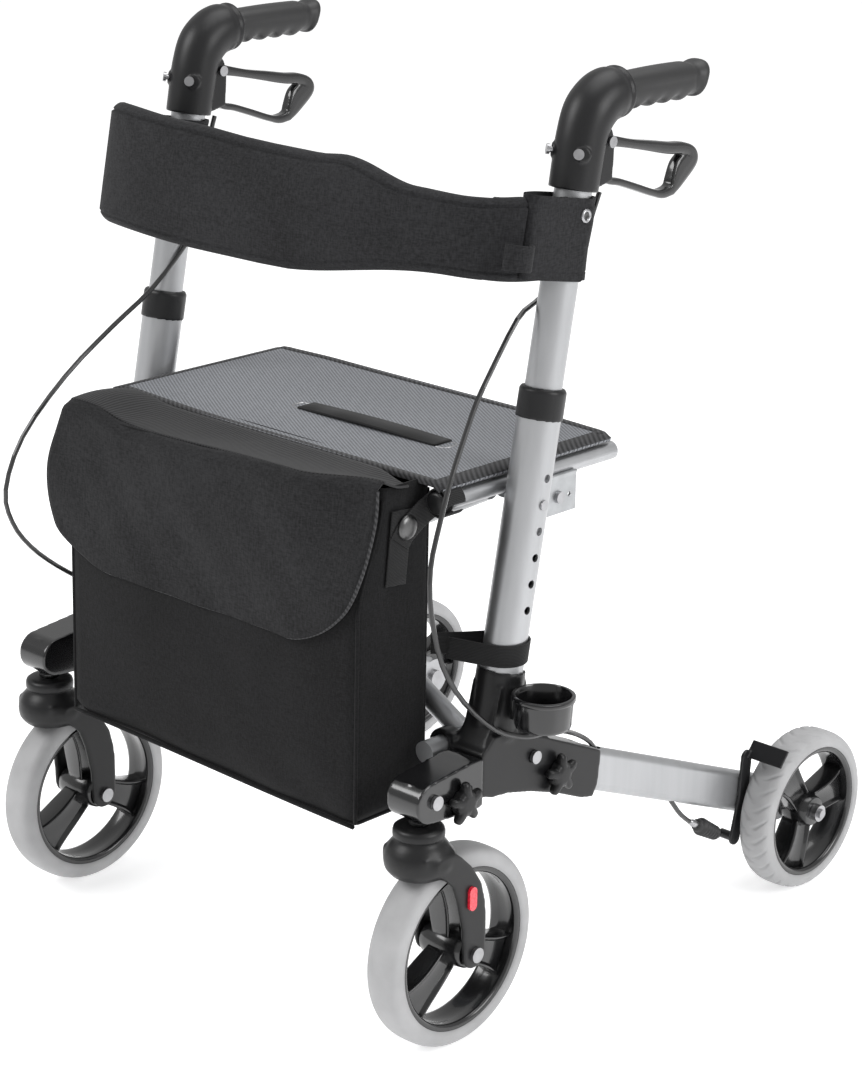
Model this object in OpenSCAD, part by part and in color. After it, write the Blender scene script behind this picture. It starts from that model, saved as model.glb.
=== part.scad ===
// Folding four-wheel rollator walker with a mesh seat, a bag and loop brakes.
// Front (casters and bag) faces -Y, the user's left side is +X, ground is z = 0.

/* [Side frames] */
// Distance of each upright tube from the middle plane
upright_x = 261.5; // [255:0.5:270]
// Rearward lean of the uprights, in degrees
lean = 10.4; // [9:0.1:12]
// Outer diameter of the lower upright tube
lower_tube_d = 42; // [40:0.5:42]
// Outer diameter of the sliding upper tube
upper_tube_d = 35.5; // [34:0.5:35.5]
// Width of the hub casting across the frame
hub_w = 43; // [42:0.5:43]
// Height of the flat-oval rear tube
rear_tube_h = 44; // [42:1:45]
// Width of the flat-oval rear tube
rear_tube_w = 18; // [16:1:18]

/* [Height adjustment] */
// Number of adjustment holes in each lower tube
hole_count = 6; // [4:1:6]
// Spacing of the adjustment holes
hole_pitch = 25.4; // [20:0.1:25.4]
// Diameter of the adjustment holes
hole_d = 8; // [6:0.5:9]

/* [Wheels] */
// Diameter of the front caster wheels
front_wheel_d = 200; // [196:1:202]
// Diameter of the rear wheels
rear_wheel_d = 174; // [170:1:176]
// Width of every tyre
tyre_w = 38; // [34:1:38]
// Distance of the front wheels from the middle plane
caster_x = 265.7; // [264:0.1:267]
// Distance of the rear wheels from the middle plane
rear_wheel_x = 290; // [290:0.5:292]

/* [Seat and cross brace] */
// Distance of each seat rail from the middle plane
rail_x = 228; // [224:0.5:228]
// Height of the seat rail axes
rail_z = 530; // [526:1:534]
// Outer diameter of the seat rails
rail_d = 18; // [16:1:18]
// Height of the lower brace tubes
brace_z = 285; // [283:1:287]
// Outer diameter of the brace tubes
brace_d = 22; // [20:1:22]

/* [Handles] */
// Height of the grips
grip_z = 895; // [890:1:900]
// Diameter of the grips
grip_d = 35; // [32:1:36]
// Thickness of the brake lever loops
lever_w = 14; // [12:1:14]

/* [Cane cup] */
// Inner diameter of the cane cup
cup_bore_d = 52; // [48:1:52]
// Wall thickness of the cane cup
cup_wall = 3; // [2:0.5:3]
// Height of the cane cup
cup_h = 33; // [30:1:36]

/* [Hidden] */
$fn = 64;

// Shift that puts the origin under the middle of the whole part
origin_shift = [-12, 42.6, 0];

fit_gap = 0.05;
wall = 2;

// Upright axis: a point on it at the mouth of the hub socket, then distances along it
socket_y = -231;
socket_z = 362;
tube_start = -40;
collar_start = 241;
collar_h = 30;
lower_tube_end = collar_start + 21;
upper_tube_start = 122;
elbow_start = 455;
upper_tube_end = 485;
top_hole_at = 187.6;
screw_at = top_hole_at - hole_pitch;

// Elbow bend, from the lean of the upright to level
bend_r = 42;
elbow_r = 21;
bend_z = grip_z - bend_r;
bend_start_z = bend_z + bend_r * sin(lean);
bend_start_y = lean_y(bend_start_z);
bend_y = bend_start_y + bend_r * cos(lean);
bend_start = (bend_start_z - socket_z) / cos(lean);

// Brake lever pivot
lever_y = -115;
lever_z = 853;

// Front caster
stem_y = -346.3;
caster_y = -300;
fork_half_w = 33.3;
fork_leg_w = 6;
crown_z = 206;
nose_bolt_z = 266;
front_knob_y = -311;
front_knob_z = 258;
rear_knob_y = -171;
rear_knob_z = 245;
disc_z = 227;
disc_top = 238;
stem_r = 6;
axle_r = 4;

// Rims inside the tyres
front_rim_r = 82.6;
rear_rim_r = 71.8;

// Rear wheel and brake
rear_y = 230.2;
rear_axle_r = 5;
rear_tube_x = 256;
rear_slope = atan(0.403);
rear_tube_y = -105;
rear_tube_z = 223;
brake_y = 157;
brake_z = 115;

// Cross brace
brace_a_y = -240;
brace_b_y = -213;
brace_rise = rail_z - brace_z;
brace_angle = atan(brace_rise / (2 * rail_x));
brace_len = 2 * rail_x / cos(brace_angle);

// Seat rails, seat and bag
rail_y0 = -290;
rail_y1 = -38;
seat_z = 541;
bag_half_w = 205;

// Backrest frame: origin on the upright axes, leaning with them
back_z = 769;
back_y = lean_y(back_z);

// Brake cable routes, from the lever to the brake, for the left side
cable_r = 2.5;
cable_end = [
    [288, -237, 301], [287.5, -213, 294], [281, -180, 288], [268, -146, 275], [258, -112, 259],
    [256, -88, 243], [256, -70, 222], [256, -40, 200], [256, 0, 180], [256, 30, 160], [256, 48, 138],
    [256, 66, 117], [256, 90, 98]
];
left_route = concat([
    [262, -111, 803], [261, -118, 785], [258, -125, 762], [250, -132, 738], [241, -148, 716],
    [240, -172, 704], [241, -198, 692], [245, -241, 646], [249, -262, 624], [255, -284, 597],
    [262, -308, 565], [268, -329, 527],
    [272, -344, 490], [276, -346, 447], [280, -334, 396], [284, -308, 354], [287, -268, 317]
], cable_end);
right_route = concat([
    [262, -111, 803], [261, -118, 785], [258, -125, 762], [250, -132, 738], [241, -146, 712],
    [240, -172, 680], [246, -216, 637], [253, -264, 604], [259, -323, 561], [262, -378, 507],
    [264, -400, 455],
    [268, -389, 417], [274, -361, 383], [281, -320, 350], [287, -272, 319]
], cable_end);

function lean_y(z) = socket_y + (z - socket_z) * tan(lean);

function rear_z(y) = rear_tube_z - (y - rear_tube_y) * tan(rear_slope);

function superellipse(a, b, n, steps) = [
    for (i = [0 : steps])
        let (c = cos(180 * i / steps), s = sin(180 * i / steps))
        [a * sign(c) * pow(abs(c), 2 / n), -b * pow(abs(s), 2 / n)]
];

// Direction of a route at point i, and a frame across it that never twists
function heading(p, i) =
    let (a = p[max(i - 1, 0)], b = p[min(i + 1, len(p) - 1)], d = b - a) d / norm(d);

function across(p, i) = let (h = heading(p, i), c = cross(h, [1, 0.2, 0.1])) c / norm(c);

// Smooth curve through the route points, with extra points between them
function spline_at(p, i, t) =
    let (
        a = p[max(i - 1, 0)],
        b = p[i],
        c = p[i + 1],
        d = p[min(i + 2, len(p) - 1)]
    )
    0.5 * (2 * b + (c - a) * t + (2 * a - 5 * b + 4 * c - d) * t * t
        + (3 * b - a - 3 * c + d) * t * t * t);

function smooth(p, n) = concat(
    [for (i = [0 : len(p) - 2]) for (k = [0 : n - 1]) spline_at(p, i, k / n)],
    [p[len(p) - 1]]
);

// Round cable swept along a route
module cable_along(route, r, sides = 8, n = 3) {
    p = smooth(route, n);
    points = [
        for (i = [0 : len(p) - 1])
            let (u = across(p, i), v = cross(heading(p, i), u))
            for (k = [0 : sides - 1])
                p[i] + r * (u * cos(360 * k / sides) + v * sin(360 * k / sides))
    ];
    last = len(p) - 1;
    walls = [
        for (i = [0 : last - 1]) for (k = [0 : sides - 1])
            let (j = (k + 1) % sides)
            [i * sides + k, i * sides + j, (i + 1) * sides + j, (i + 1) * sides + k]
    ];
    first_cap = [[for (k = [0 : sides - 1]) sides - 1 - k]];
    last_cap = [[for (k = [0 : sides - 1]) last * sides + k]];
    polyhedron(points, concat(first_cap, walls, last_cap), convexity = 6);
}

// Places a child at a distance along the leaning upright, with its Z along the tube
module on_upright(at) {
    translate([upright_x, socket_y + at * sin(lean), socket_z + at * cos(lean)])
        rotate([-lean, 0, 0])
            children();
}

// Extrudes a (y, z) outline along X
module slab(x0, x1) {
    translate([x0, 0, 0])
        rotate([90, 0, 90])
            linear_extrude(x1 - x0)
                children();
}

// Cylinder along X from x0 to x1 around (y, z)
module rod_x(x0, x1, y, z, r) {
    translate([x0, y, z])
        rotate([0, 90, 0])
            cylinder(r = r, h = x1 - x0);
}

// Cylinder along Y from y0 to y1 around (x, z)
module rod_y(y0, y1, x, z, r) {
    translate([x, y0, z])
        rotate([-90, 0, 0])
            cylinder(r = r, h = y1 - y0);
}

module tube(r, thickness, h) {
    difference() {
        cylinder(r = r, h = h);
        translate([0, 0, -1])
            cylinder(r = r - thickness, h = h + 2);
    }
}

// Bar with round ends between two points of an outline
module bar(a, b, r) {
    hull() {
        translate(a) circle(r = r);
        translate(b) circle(r = r);
    }
}

// Flat-oval outline of the rear tube, with its long side along Y of the outline
module oval(w, h) {
    square([w, h - w], center = true);
    for (side = [-1, 1])
        translate([0, side * (h - w) / 2])
            circle(d = w);
}

// Places an oval extrusion along the rear tube, from one y to another
module on_rear_tube(y0, y1) {
    translate([rear_tube_x, y0, rear_z(y0)])
        rotate([-90 - rear_slope, 0, 0])
            linear_extrude((y1 - y0) / cos(rear_slope))
                children();
}

// Side frame: hub casting that joins the upright, both arms and the brace bearings
module hub() {
    web = [
        [-274, 296], [-263, 312], [-257, 332], [-252, 352], [-215, 352], [-209, 325],
        [-198, 300], [-180, 282]
    ];
    outer = [
        [-279, 250], [-262, 244], [-242, 242.5], [-206, 233.5], [-167, 220], [-130, 204],
        [-113, 200], [-106, 212], [-102, 246], [-110, 250], [-200, 290], [-215, 300],
        [-262, 306], [-279, 292]
    ];
    color("dimgray")
        difference() {
            union() {
                slab(upright_x - hub_w / 2, upright_x + hub_w / 2) polygon(outer);
                slab(upright_x - 18, upright_x + 18) polygon(web);
                on_upright(-66) cylinder(r = 23.5, h = 66);
                slab(caster_x - 14.3, caster_x + 14.3) translate([-326, 247]) square([50, 30]);
                for (y = [-276, -190]) {
                    rod_y(y, y + 16, rail_x, brace_z, 17);
                    translate([rail_x, y, brace_z - 15]) cube([16, 16, y < -200 ? 30 : 12]);
                }
            }
            on_upright(tube_start - fit_gap) cylinder(r = lower_tube_d / 2 + fit_gap, h = 90);
            on_rear_tube(-171, -80) oval(rear_tube_w + 2 * fit_gap, rear_tube_h + 2 * fit_gap);
            rod_y(-300, -150, rail_x, brace_z, brace_d / 2 + fit_gap);
            rod_x(upright_x, caster_x + 30, front_knob_y, front_knob_z, 4.1);
            rod_x(upright_x + 10, caster_x + 30, rear_knob_y, rear_knob_z, 4.1);
            rod_x(upright_x + 12, caster_x + 30, -205, 270, 4 + fit_gap);
        }
}

// Side frame: lower upright tube with its row of adjustment holes
module lower_tube() {
    color("silver")
        difference() {
            on_upright(tube_start) tube(lower_tube_d / 2, 3, lower_tube_end - tube_start);
            for (i = [0 : hole_count - 1])
                on_upright(top_hole_at - i * hole_pitch)
                    rotate([0, 90, 0])
                        cylinder(d = hole_d, h = lower_tube_d);
        }
}

// Side frame: plastic collar that guides the upper tube
module collar() {
    color("black")
        on_upright(collar_start)
            difference() {
                union() {
                    cylinder(r = 22.5, h = collar_h - 3);
                    translate([0, 0, collar_h - 3]) cylinder(r1 = 22.5, r2 = 20.5, h = 3);
                }
                translate([0, 0, -1])
                    cylinder(r = lower_tube_d / 2 + fit_gap, h = lower_tube_end - collar_start + 1);
                cylinder(r = upper_tube_d / 2 + fit_gap, h = collar_h + 1);
            }
}

// Side frame: flat-oval tube that carries the rear wheel
module rear_tube() {
    color("silver")
        difference() {
            union() {
                on_rear_tube(-170, 222) oval(rear_tube_w, rear_tube_h);
                rod_x(rear_tube_x - 9, rear_tube_x + 9, rear_y, rear_wheel_d / 2, 22);
            }
            on_rear_tube(-171, 196) oval(rear_tube_w - 2 * wall, rear_tube_h - 2 * wall);
            rod_x(rear_tube_x - 20, rear_tube_x + 20, rear_y, rear_wheel_d / 2, rear_axle_r + fit_gap);
            rod_x(rear_tube_x - 20, rear_tube_x + 20, brake_y, brake_z, 4 + fit_gap);
            translate([rear_tube_x, -70, 222]) rotate([40, 0, 0]) cylinder(r = 5, h = 30);
            translate([rear_tube_x, 40, 147]) rotate([-138, 0, 0]) cylinder(r = 5, h = 30);
        }
}

// Side frame: front arm, a shell with a round nose over the caster stem
module caster_arm() {
    color("black")
        difference() {
            union() {
                difference() {
                    slab(caster_x - 20, caster_x + 20)
                        intersection() {
                            hull() {
                                translate([-350, 265]) circle(r = 20);
                                translate([-290, 266]) circle(r = 25);
                            }
                            translate([-390, 240]) square([110.5, 60]);
                        }
                    slab(caster_x - 15, caster_x + 15)
                        intersection() {
                            hull() {
                                translate([-348, 261]) circle(r = 18);
                                translate([-290, 260]) circle(r = 24);
                            }
                            translate([-380, 230]) square([120, 60]);
                        }
                }
                translate([caster_x, stem_y, 247]) cylinder(r = 14.5, h = 36);
                translate([caster_x, stem_y, 239]) cylinder(r = 11, h = 10);
            }
            translate([caster_x, stem_y, 200]) cylinder(r = stem_r + fit_gap, h = 62);
            rod_x(caster_x - 30, caster_x + 30, front_knob_y, front_knob_z, 4.1);
            rod_x(caster_x, caster_x + 30, stem_y, nose_bolt_z, 4 + fit_gap);
        }
}

// Side frame: saddle that the seat rail rests in when the walker is open
module saddle() {
    color("gray")
        difference() {
            union() {
                rod_y(-199, -104, rail_x, rail_z, 14);
                translate([rail_x + 9.4, -199, 487]) cube([3, 95, 40]);
                translate([rail_x + 9.4, -199, 490]) cube([12, 14, 28]);
            }
            on_upright(80) cylinder(r = lower_tube_d / 2 + fit_gap, h = 150);
            rod_y(-200, -103, rail_x, rail_z, rail_d / 2 + 0.3);
            translate([rail_x - 20, -200, rail_z - 3]) cube([60, 100, 30]);
            for (y = [-146, -130, -114])
                rod_x(rail_x, rail_x + 20, y, 504, y == -130 ? 4.05 : 2);
        }
}

// Side frame: bolts, stem pin, rear axle and locking screw
module fasteners(cup_screw) {
    color("lightgray") {
        rod_x(upright_x + 13, upright_x + 22.3, -205, 270, 4);
        rod_x(upright_x + 22.3, upright_x + 26, -205, 270, 6.5);
        rod_x(caster_x + 8, caster_x + 20.3, stem_y, nose_bolt_z, 4);
        rod_x(caster_x + 20.3, caster_x + 24, stem_y, nose_bolt_z, 7);
        translate([caster_x, stem_y, 202]) cylinder(r = stem_r, h = 59.5);
        translate([caster_x, stem_y, 201.5]) cylinder(r = 10, h = 4.2);
        rod_x(rail_x + 9.3, rail_x + 15, -130, 504, 4);
        rod_x(rail_x + 5.5, rail_x + 9.3, -130, 504, 6.5);
        rod_x(rail_x + 12.5, rail_x + 16, -130, 504, 6);
        rod_x(rear_tube_x - 14, rear_wheel_x + 30, rear_y, rear_wheel_d / 2, rear_axle_r);
        rod_x(rear_tube_x - 14, rear_tube_x - 9.2, rear_y, rear_wheel_d / 2, 9);
        rod_x(rear_wheel_x + 20, rear_wheel_x + 27, rear_y, rear_wheel_d / 2, 9);
        on_upright(screw_at) rotate([0, 90, 0]) translate([0, 0, 18.1]) cylinder(r = 3.95, h = 4.5);
        on_upright(screw_at) rotate([0, 90, 0]) translate([0, 0, 21.1]) cylinder(r = 5, h = 2);
        if (cup_screw) rod_x(upright_x + 23.7, upright_x + 27.3, -231, 333, 5);
    }
}

// Side frame: ribbed boot over the spring at the end of the brake cable
module brake_boot() {
    color("black")
        translate([rear_tube_x, 93, 96])
            rotate([-90 - 29, 0, 0])
                for (i = [0 : 5])
                    translate([0, 0, 8.7 * i])
                        cylinder(r1 = 9, r2 = 7, h = 8.7);
}

// Handle: sliding upper tube
module upper_tube() {
    color("silver")
        on_upright(upper_tube_start)
            tube(upper_tube_d / 2, 2, upper_tube_end - upper_tube_start);
}

// Handle: elbow that turns the upright into the grip and carries the lever
module elbow() {
    pivot_r = 11;
    color("black")
        difference() {
            union() {
                on_upright(elbow_start) cylinder(r = 22.5, h = bend_start - elbow_start);
                translate([upright_x, bend_y, bend_z])
                    rotate([90, 0, 90])
                        rotate([0, 0, 90])
                            rotate_extrude(angle = 90 - lean)
                                translate([bend_r, 0])
                                    circle(r = elbow_r);
                rod_y(bend_y, bend_y + 8, upright_x, grip_z, 20);
                for (side = [-1, 1])
                    on_upright(490)
                        rotate([90, 0, side * 40])
                            cylinder(r = 7.5, h = 27.5);
                slab(upright_x - 15, upright_x + 15) {
                    translate([lever_y, lever_z]) circle(r = pivot_r);
                    translate([lever_y - 26, lever_z - pivot_r]) square([26, 2 * pivot_r]);
                    translate([lever_y - pivot_r, lever_z]) square([2 * pivot_r, 24]);
                }
            }
            on_upright(elbow_start - 1)
                cylinder(r = upper_tube_d / 2 + fit_gap, h = upper_tube_end - elbow_start + 1.1);
            slab(upright_x - lever_w / 2 - 0.5, upright_x + lever_w / 2 + 0.5) {
                translate([lever_y, lever_z]) circle(r = 15.5);
                translate([lever_y - 4, lever_z - 60]) square([80, 60]);
            }
            rod_x(upright_x - 20, upright_x + 20, lever_y, lever_z, 3 + fit_gap);
            for (side = [-1, 1])
                on_upright(490)
                    rotate([90, 0, side * 40])
                        translate([0, 0, 20])
                            cylinder(r = 3 + fit_gap, h = 20);
        }
}

// Handle: moulded grip with finger lobes below and a palm wing on top
module grip() {
    y0 = bend_y + 8.3;
    y1 = 27;
    half = grip_d / 2;
    lobe = (y1 - y0 - 12) / 4;
    color("dimgray")
        union() {
            intersection() {
                rod_y(y0, y1, upright_x, grip_z, half + 1.5);
                slab(upright_x - half, upright_x + half) {
                    translate([y0, grip_z - half + 5]) square([y1 - y0 - 6, grip_d - 8]);
                    for (i = [0 : 3])
                        translate([y0 + 6 + lobe * (i + 0.5), grip_z - half + 10])
                            circle(r = lobe / 2 + 1);
                    translate([y1 - half, grip_z]) circle(r = half);
                }
            }
            translate([upright_x, 0, grip_z + 7])
                linear_extrude(8)
                    polygon([[-16, y0 + 20], [16, y0 + 8], [24, y0 + 40], [24, 1], [14, 25], [-16, 21]]);
        }
}

// Handle: clamp bolts and the lever's pivot pin
module handle_bolts() {
    color("lightgray") {
        for (side = [-1, 1])
            on_upright(490)
                rotate([90, 0, side * 40]) {
                    translate([0, 0, 20.5]) cylinder(r = 3, h = 7.1);
                    translate([0, 0, 27.6]) cylinder(r = 5, h = 3);
                }
        rod_x(upright_x - 15.1, upright_x + 15.1, lever_y, lever_z, 3);
        for (x = [-18.6, 15.1])
            rod_x(upright_x + x, upright_x + x + 3.5, lever_y, lever_z, 5.5);
    }
}

// Brake lever: closed loop below the grip
module lever() {
    tip = [
        [9, 834], [26, 828], [31, 820], [27, 809], [-13, 786], [-27, 785], [-29, 794], [-1, 807],
        [7, 818]
    ];
    color("black")
        difference() {
            slab(upright_x - lever_w / 2, upright_x + lever_w / 2) {
                bar([lever_y, lever_z], [-42, 838], 6);
                bar([-42, 838], [11, 828], 6);
                bar([-25, 790], [-106, 815], 4.5);
                bar([-106, 815], [lever_y, lever_z], 6);
                polygon(tip);
                translate([lever_y, lever_z]) circle(r = 9);
            }
            rod_x(upright_x - 20, upright_x + 20, lever_y, lever_z, 3 + fit_gap);
        }
}

// Backrest: padded strap around the front, sewn to a sleeve on each upper tube
module backrest() {
    outer = superellipse(278, 145, 4, 48);
    inner = superellipse(252, 123, 4, 48);
    color("darkslategray")
        translate([0, back_y, back_z])
            rotate([-lean, 0, 0])
                difference() {
                    union() {
                        translate([0, 0, -40.5])
                            linear_extrude(74.5)
                                difference() {
                                    polygon(outer);
                                    polygon(inner);
                                }
                        translate([0, 0, -72])
                            linear_extrude(116)
                                difference() {
                                    intersection() {
                                        polygon(outer);
                                        translate([-290, -200]) square([430, 130]);
                                    }
                                    polygon(inner);
                                }
                        for (x = [-upright_x, upright_x])
                            translate([x, 0, -40.5]) cylinder(r = 21, h = 74.5);
                    }
                    for (x = [-upright_x, upright_x])
                        translate([x, 0, -60]) cylinder(r = upper_tube_d / 2 + 0.4, h = 120);
                }
}

// Rear brake: bracket that presses a bar against the tyre
module brake_arm() {
    x0 = rear_tube_x + rear_tube_w / 2 + 0.4;
    color("black")
        difference() {
            union() {
                slab(x0, x0 + 3.5) {
                    bar([brake_y, brake_z], [160, 158], 8);
                    bar([brake_y, brake_z], [146, 70], 8);
                }
                slab(x0, rear_wheel_x + tyre_w / 2 + 2)
                    translate([168, 165]) rotate(140) square([3, 20], center = true);
                slab(rear_tube_x - 7, x0 + 1)
                    translate([146, 70]) circle(r = 5);
            }
            rod_x(x0 - 1, x0 + 5, brake_y, brake_z, 4 + fit_gap);
        }
    color("lightgray") {
        rod_x(rear_tube_x - 12, x0 + 3.5, brake_y, brake_z, 4);
        rod_x(rear_tube_x - 14.5, rear_tube_x - 12, brake_y, brake_z, 7);
    }
}

// Caster: fork with its swivel disc, crown and two legs
module fork() {
    leg = [
        [-352, 213], [-357, 204], [-348, 194], [-333, 180], [-325, 160], [-317, 128], [-315, 100],
        [-300, 85], [-285, 100], [-284, 120], [-286, 150], [-292, 172], [-306, 193], [-322, 208],
        [-332, 214]
    ];
    crown = [[0, 196], [25, 188], [32, 196], [33.5, 205], [32, 213], [28, 220], [22, 226], [0, 226]];
    color("dimgray")
        difference() {
            union() {
                translate([caster_x, stem_y, disc_z - 1]) cylinder(r = 23, h = disc_top - disc_z + 1);
                translate([caster_x, stem_y, 0]) rotate_extrude() polygon(crown);
                translate([caster_x - 28, stem_y - 21, crown_z]) cube([56, 42, 10]);
                for (side = [-1, 1])
                    slab(caster_x + side * (fork_half_w - fork_leg_w / 2) - fork_leg_w / 2,
                        caster_x + side * (fork_half_w - fork_leg_w / 2) + fork_leg_w / 2) {
                        polygon(leg);
                        translate([caster_y, front_wheel_d / 2]) circle(r = 15);
                    }
            }
            translate([caster_x, stem_y, 190]) cylinder(r = stem_r + fit_gap, h = 60);
            translate([caster_x, stem_y, 190]) cylinder(r = 11, h = crown_z - 190);
            rod_x(caster_x - 21.5, caster_x + 21.5, caster_y, front_wheel_d / 2, front_wheel_d / 2 + 2.5);
            rod_x(caster_x - 40, caster_x + 40, caster_y, front_wheel_d / 2, axle_r + fit_gap);
        }
}

// Caster: wheel axle with its head and nut
module caster_axle() {
    color("lightgray") {
        rod_x(caster_x - 37, caster_x + 37, caster_y, front_wheel_d / 2, axle_r);
        for (x = [-37, 33.4])
            rod_x(caster_x + x, caster_x + x + 3.6, caster_y, front_wheel_d / 2, 7.5);
    }
}

// Caster: oval reflector on the outer fork leg
module reflector() {
    color("red")
        translate([caster_x + fork_half_w + 0.05, -308, 161])
            rotate([0, 90, 0])
                linear_extrude(3) {
                    square([14, 10], center = true);
                    for (z = [-7, 7]) translate([z, 0]) circle(r = 5);
                }
}

// Tyre with rounded shoulders, its axle along X
module tyre(x, y, d, rim_r) {
    r = d / 2;
    shoulder = 7.5;
    color("lightgray")
        translate([x, y, r])
            rotate([0, 90, 0])
                rotate_extrude() {
                    translate([rim_r, 1 - tyre_w / 2]) square([r - rim_r - 10, tyre_w - 2]);
                    for (side = [-1, 1])
                        translate([r - shoulder, side * (tyre_w / 2 - shoulder)]) circle(r = shoulder);
                    translate([r - 10, shoulder - tyre_w / 2]) square([10, tyre_w - 2 * shoulder]);
                }
}

// Rim with three wide spokes, the first at turn degrees above +Y; x0 and x1 are the ends of its hub
module rim(x, y, d, rim_r, x0, x1, bore_r, turn) {
    seat_r = rim_r - 0.05;
    color("black")
        translate([x, y, d / 2])
            rotate([0, 90, 0])
                difference() {
                    union() {
                        translate([0, 0, x0]) cylinder(r = 17, h = x1 - x0);
                        translate([0, 0, -15]) tube(seat_r, 6, 30);
                        for (i = [0 : 2])
                            rotate(120 * i + 90 + turn)
                                translate([0, 0, -8])
                                    linear_extrude(16)
                                        polygon([
                                            [10, -12], [seat_r * 0.55, -8], [seat_r - 4, -22],
                                            [seat_r - 2, 0], [seat_r - 4, 22], [seat_r * 0.55, 8], [10, 12]
                                        ]);
                    }
                    translate([0, 0, -40]) cylinder(r = bore_r + fit_gap, h = 80);
                }
}

// Star knob with five lobes and a threaded stud
module knob(x, y, z) {
    color("black")
        translate([x, y, z])
            rotate([0, 90, 0]) {
                cylinder(r = 14, h = 12);
                for (i = [0 : 4])
                    rotate(72 * i)
                        translate([16, 0, 1])
                            cylinder(r = 5, h = 10);
                translate([0, 0, -11]) cylinder(r = 4, h = 12);
            }
}

// Cup that holds a walking cane beside the left hub
module cane_cup() {
    r = cup_bore_d / 2;
    color("black")
        difference() {
            union() {
                translate([315, -231, 317]) cylinder(r = r + cup_wall, h = cup_h);
                translate([upright_x + 24, -240, 318]) cube([8, 18, 28]);
            }
            translate([315, -231, 320]) cylinder(r = r, h = cup_h);
            rod_x(upright_x + 20, upright_x + 32.1, -231, 333, 5.05);
        }
}

// Bag that hangs between the side frames, open at its top
module bag() {
    outline = [
        [-368, 236], [-362, 226], [-350, 222], [-300, 224], [-282, 231], [-271, 248],
        [-268, 264], [-268, 538], [-368, 538]
    ];
    color("darkslategray")
        difference() {
            slab(-bag_half_w, bag_half_w) polygon(outline);
            slab(3 - bag_half_w, bag_half_w - 3)
                polygon([
                    [-365, 237], [-360, 229], [-349, 225], [-301, 227], [-284, 234], [-274, 249],
                    [-271, 265], [-271, 550], [-365, 550]
                ]);
        }
}

// Flap that closes the bag: a top panel and a front panel with round lower corners
module bag_flap() {
    color("dimgray") {
        translate([-bag_half_w, -376, 544]) cube([2 * bag_half_w, 80, 4]);
        translate([0, -372, 0])
            rotate([90, 0, 0])
                linear_extrude(4) {
                    translate([-bag_half_w, 432]) square([2 * bag_half_w, 114]);
                    translate([40 - bag_half_w, 392]) square([2 * bag_half_w - 80, 50]);
                    for (x = [40 - bag_half_w, bag_half_w - 40])
                        translate([x, 432]) circle(r = 40);
                }
    }
}

// Cross brace: lower tube in the hub bearings and a diagonal up to the far rail
module brace(y) {
    color("silver")
        difference() {
            union() {
                rod_y(-300, -160, rail_x, brace_z, brace_d / 2);
                translate([rail_x, y, brace_z])
                    rotate([0, brace_angle - 90, 0])
                        cylinder(d = brace_d, h = brace_len);
            }
            rod_y(-330, -20, -rail_x, rail_z, rail_d / 2 + fit_gap);
            translate([-rail_x - 40, y - 20, rail_z - 100]) cube([40, 40, 200]);
            translate([-rail_x - 40, y - 20, rail_z + 4]) cube([80, 40, 40]);
            rod_y(y - 20, y + 20, 0, brace_z + brace_rise / 2, 4 + fit_gap);
        }
}

// Bolt that joins the two braces where they cross
module brace_pivot() {
    z = brace_z + brace_rise / 2;
    color("lightgray") {
        rod_y(brace_a_y - 12, brace_b_y + 12, 0, z, 4);
        rod_y(brace_a_y - 15, brace_a_y - 11.1, 0, z, 7);
        rod_y(brace_b_y + 11.4, brace_b_y + 15, 0, z, 7);
    }
}

// Seat rail: straight tube that the seat hangs from
module rail() {
    color("silver")
        rod_y(rail_y0, rail_y1, rail_x, rail_z, rail_d / 2);
}

// Seat: mesh sheet over both rails, with a shallow pocket for the pull strap
module seat_mesh() {
    color("gray")
        difference() {
            translate([-236, -288, seat_z]) cube([472, 246, 4]);
            translate([-47.1, -200.1, seat_z + 1]) cube([188.2, 26.2, 4]);
        }
}

// Pull strap that lifts the seat to fold the walker
module seat_strap() {
    color("black")
        translate([-47, -200, seat_z + 1.05])
            cube([188, 26, 2.95]);
}

module left() {
    children();
}

module right() {
    mirror([1, 0, 0]) children();
}

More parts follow.
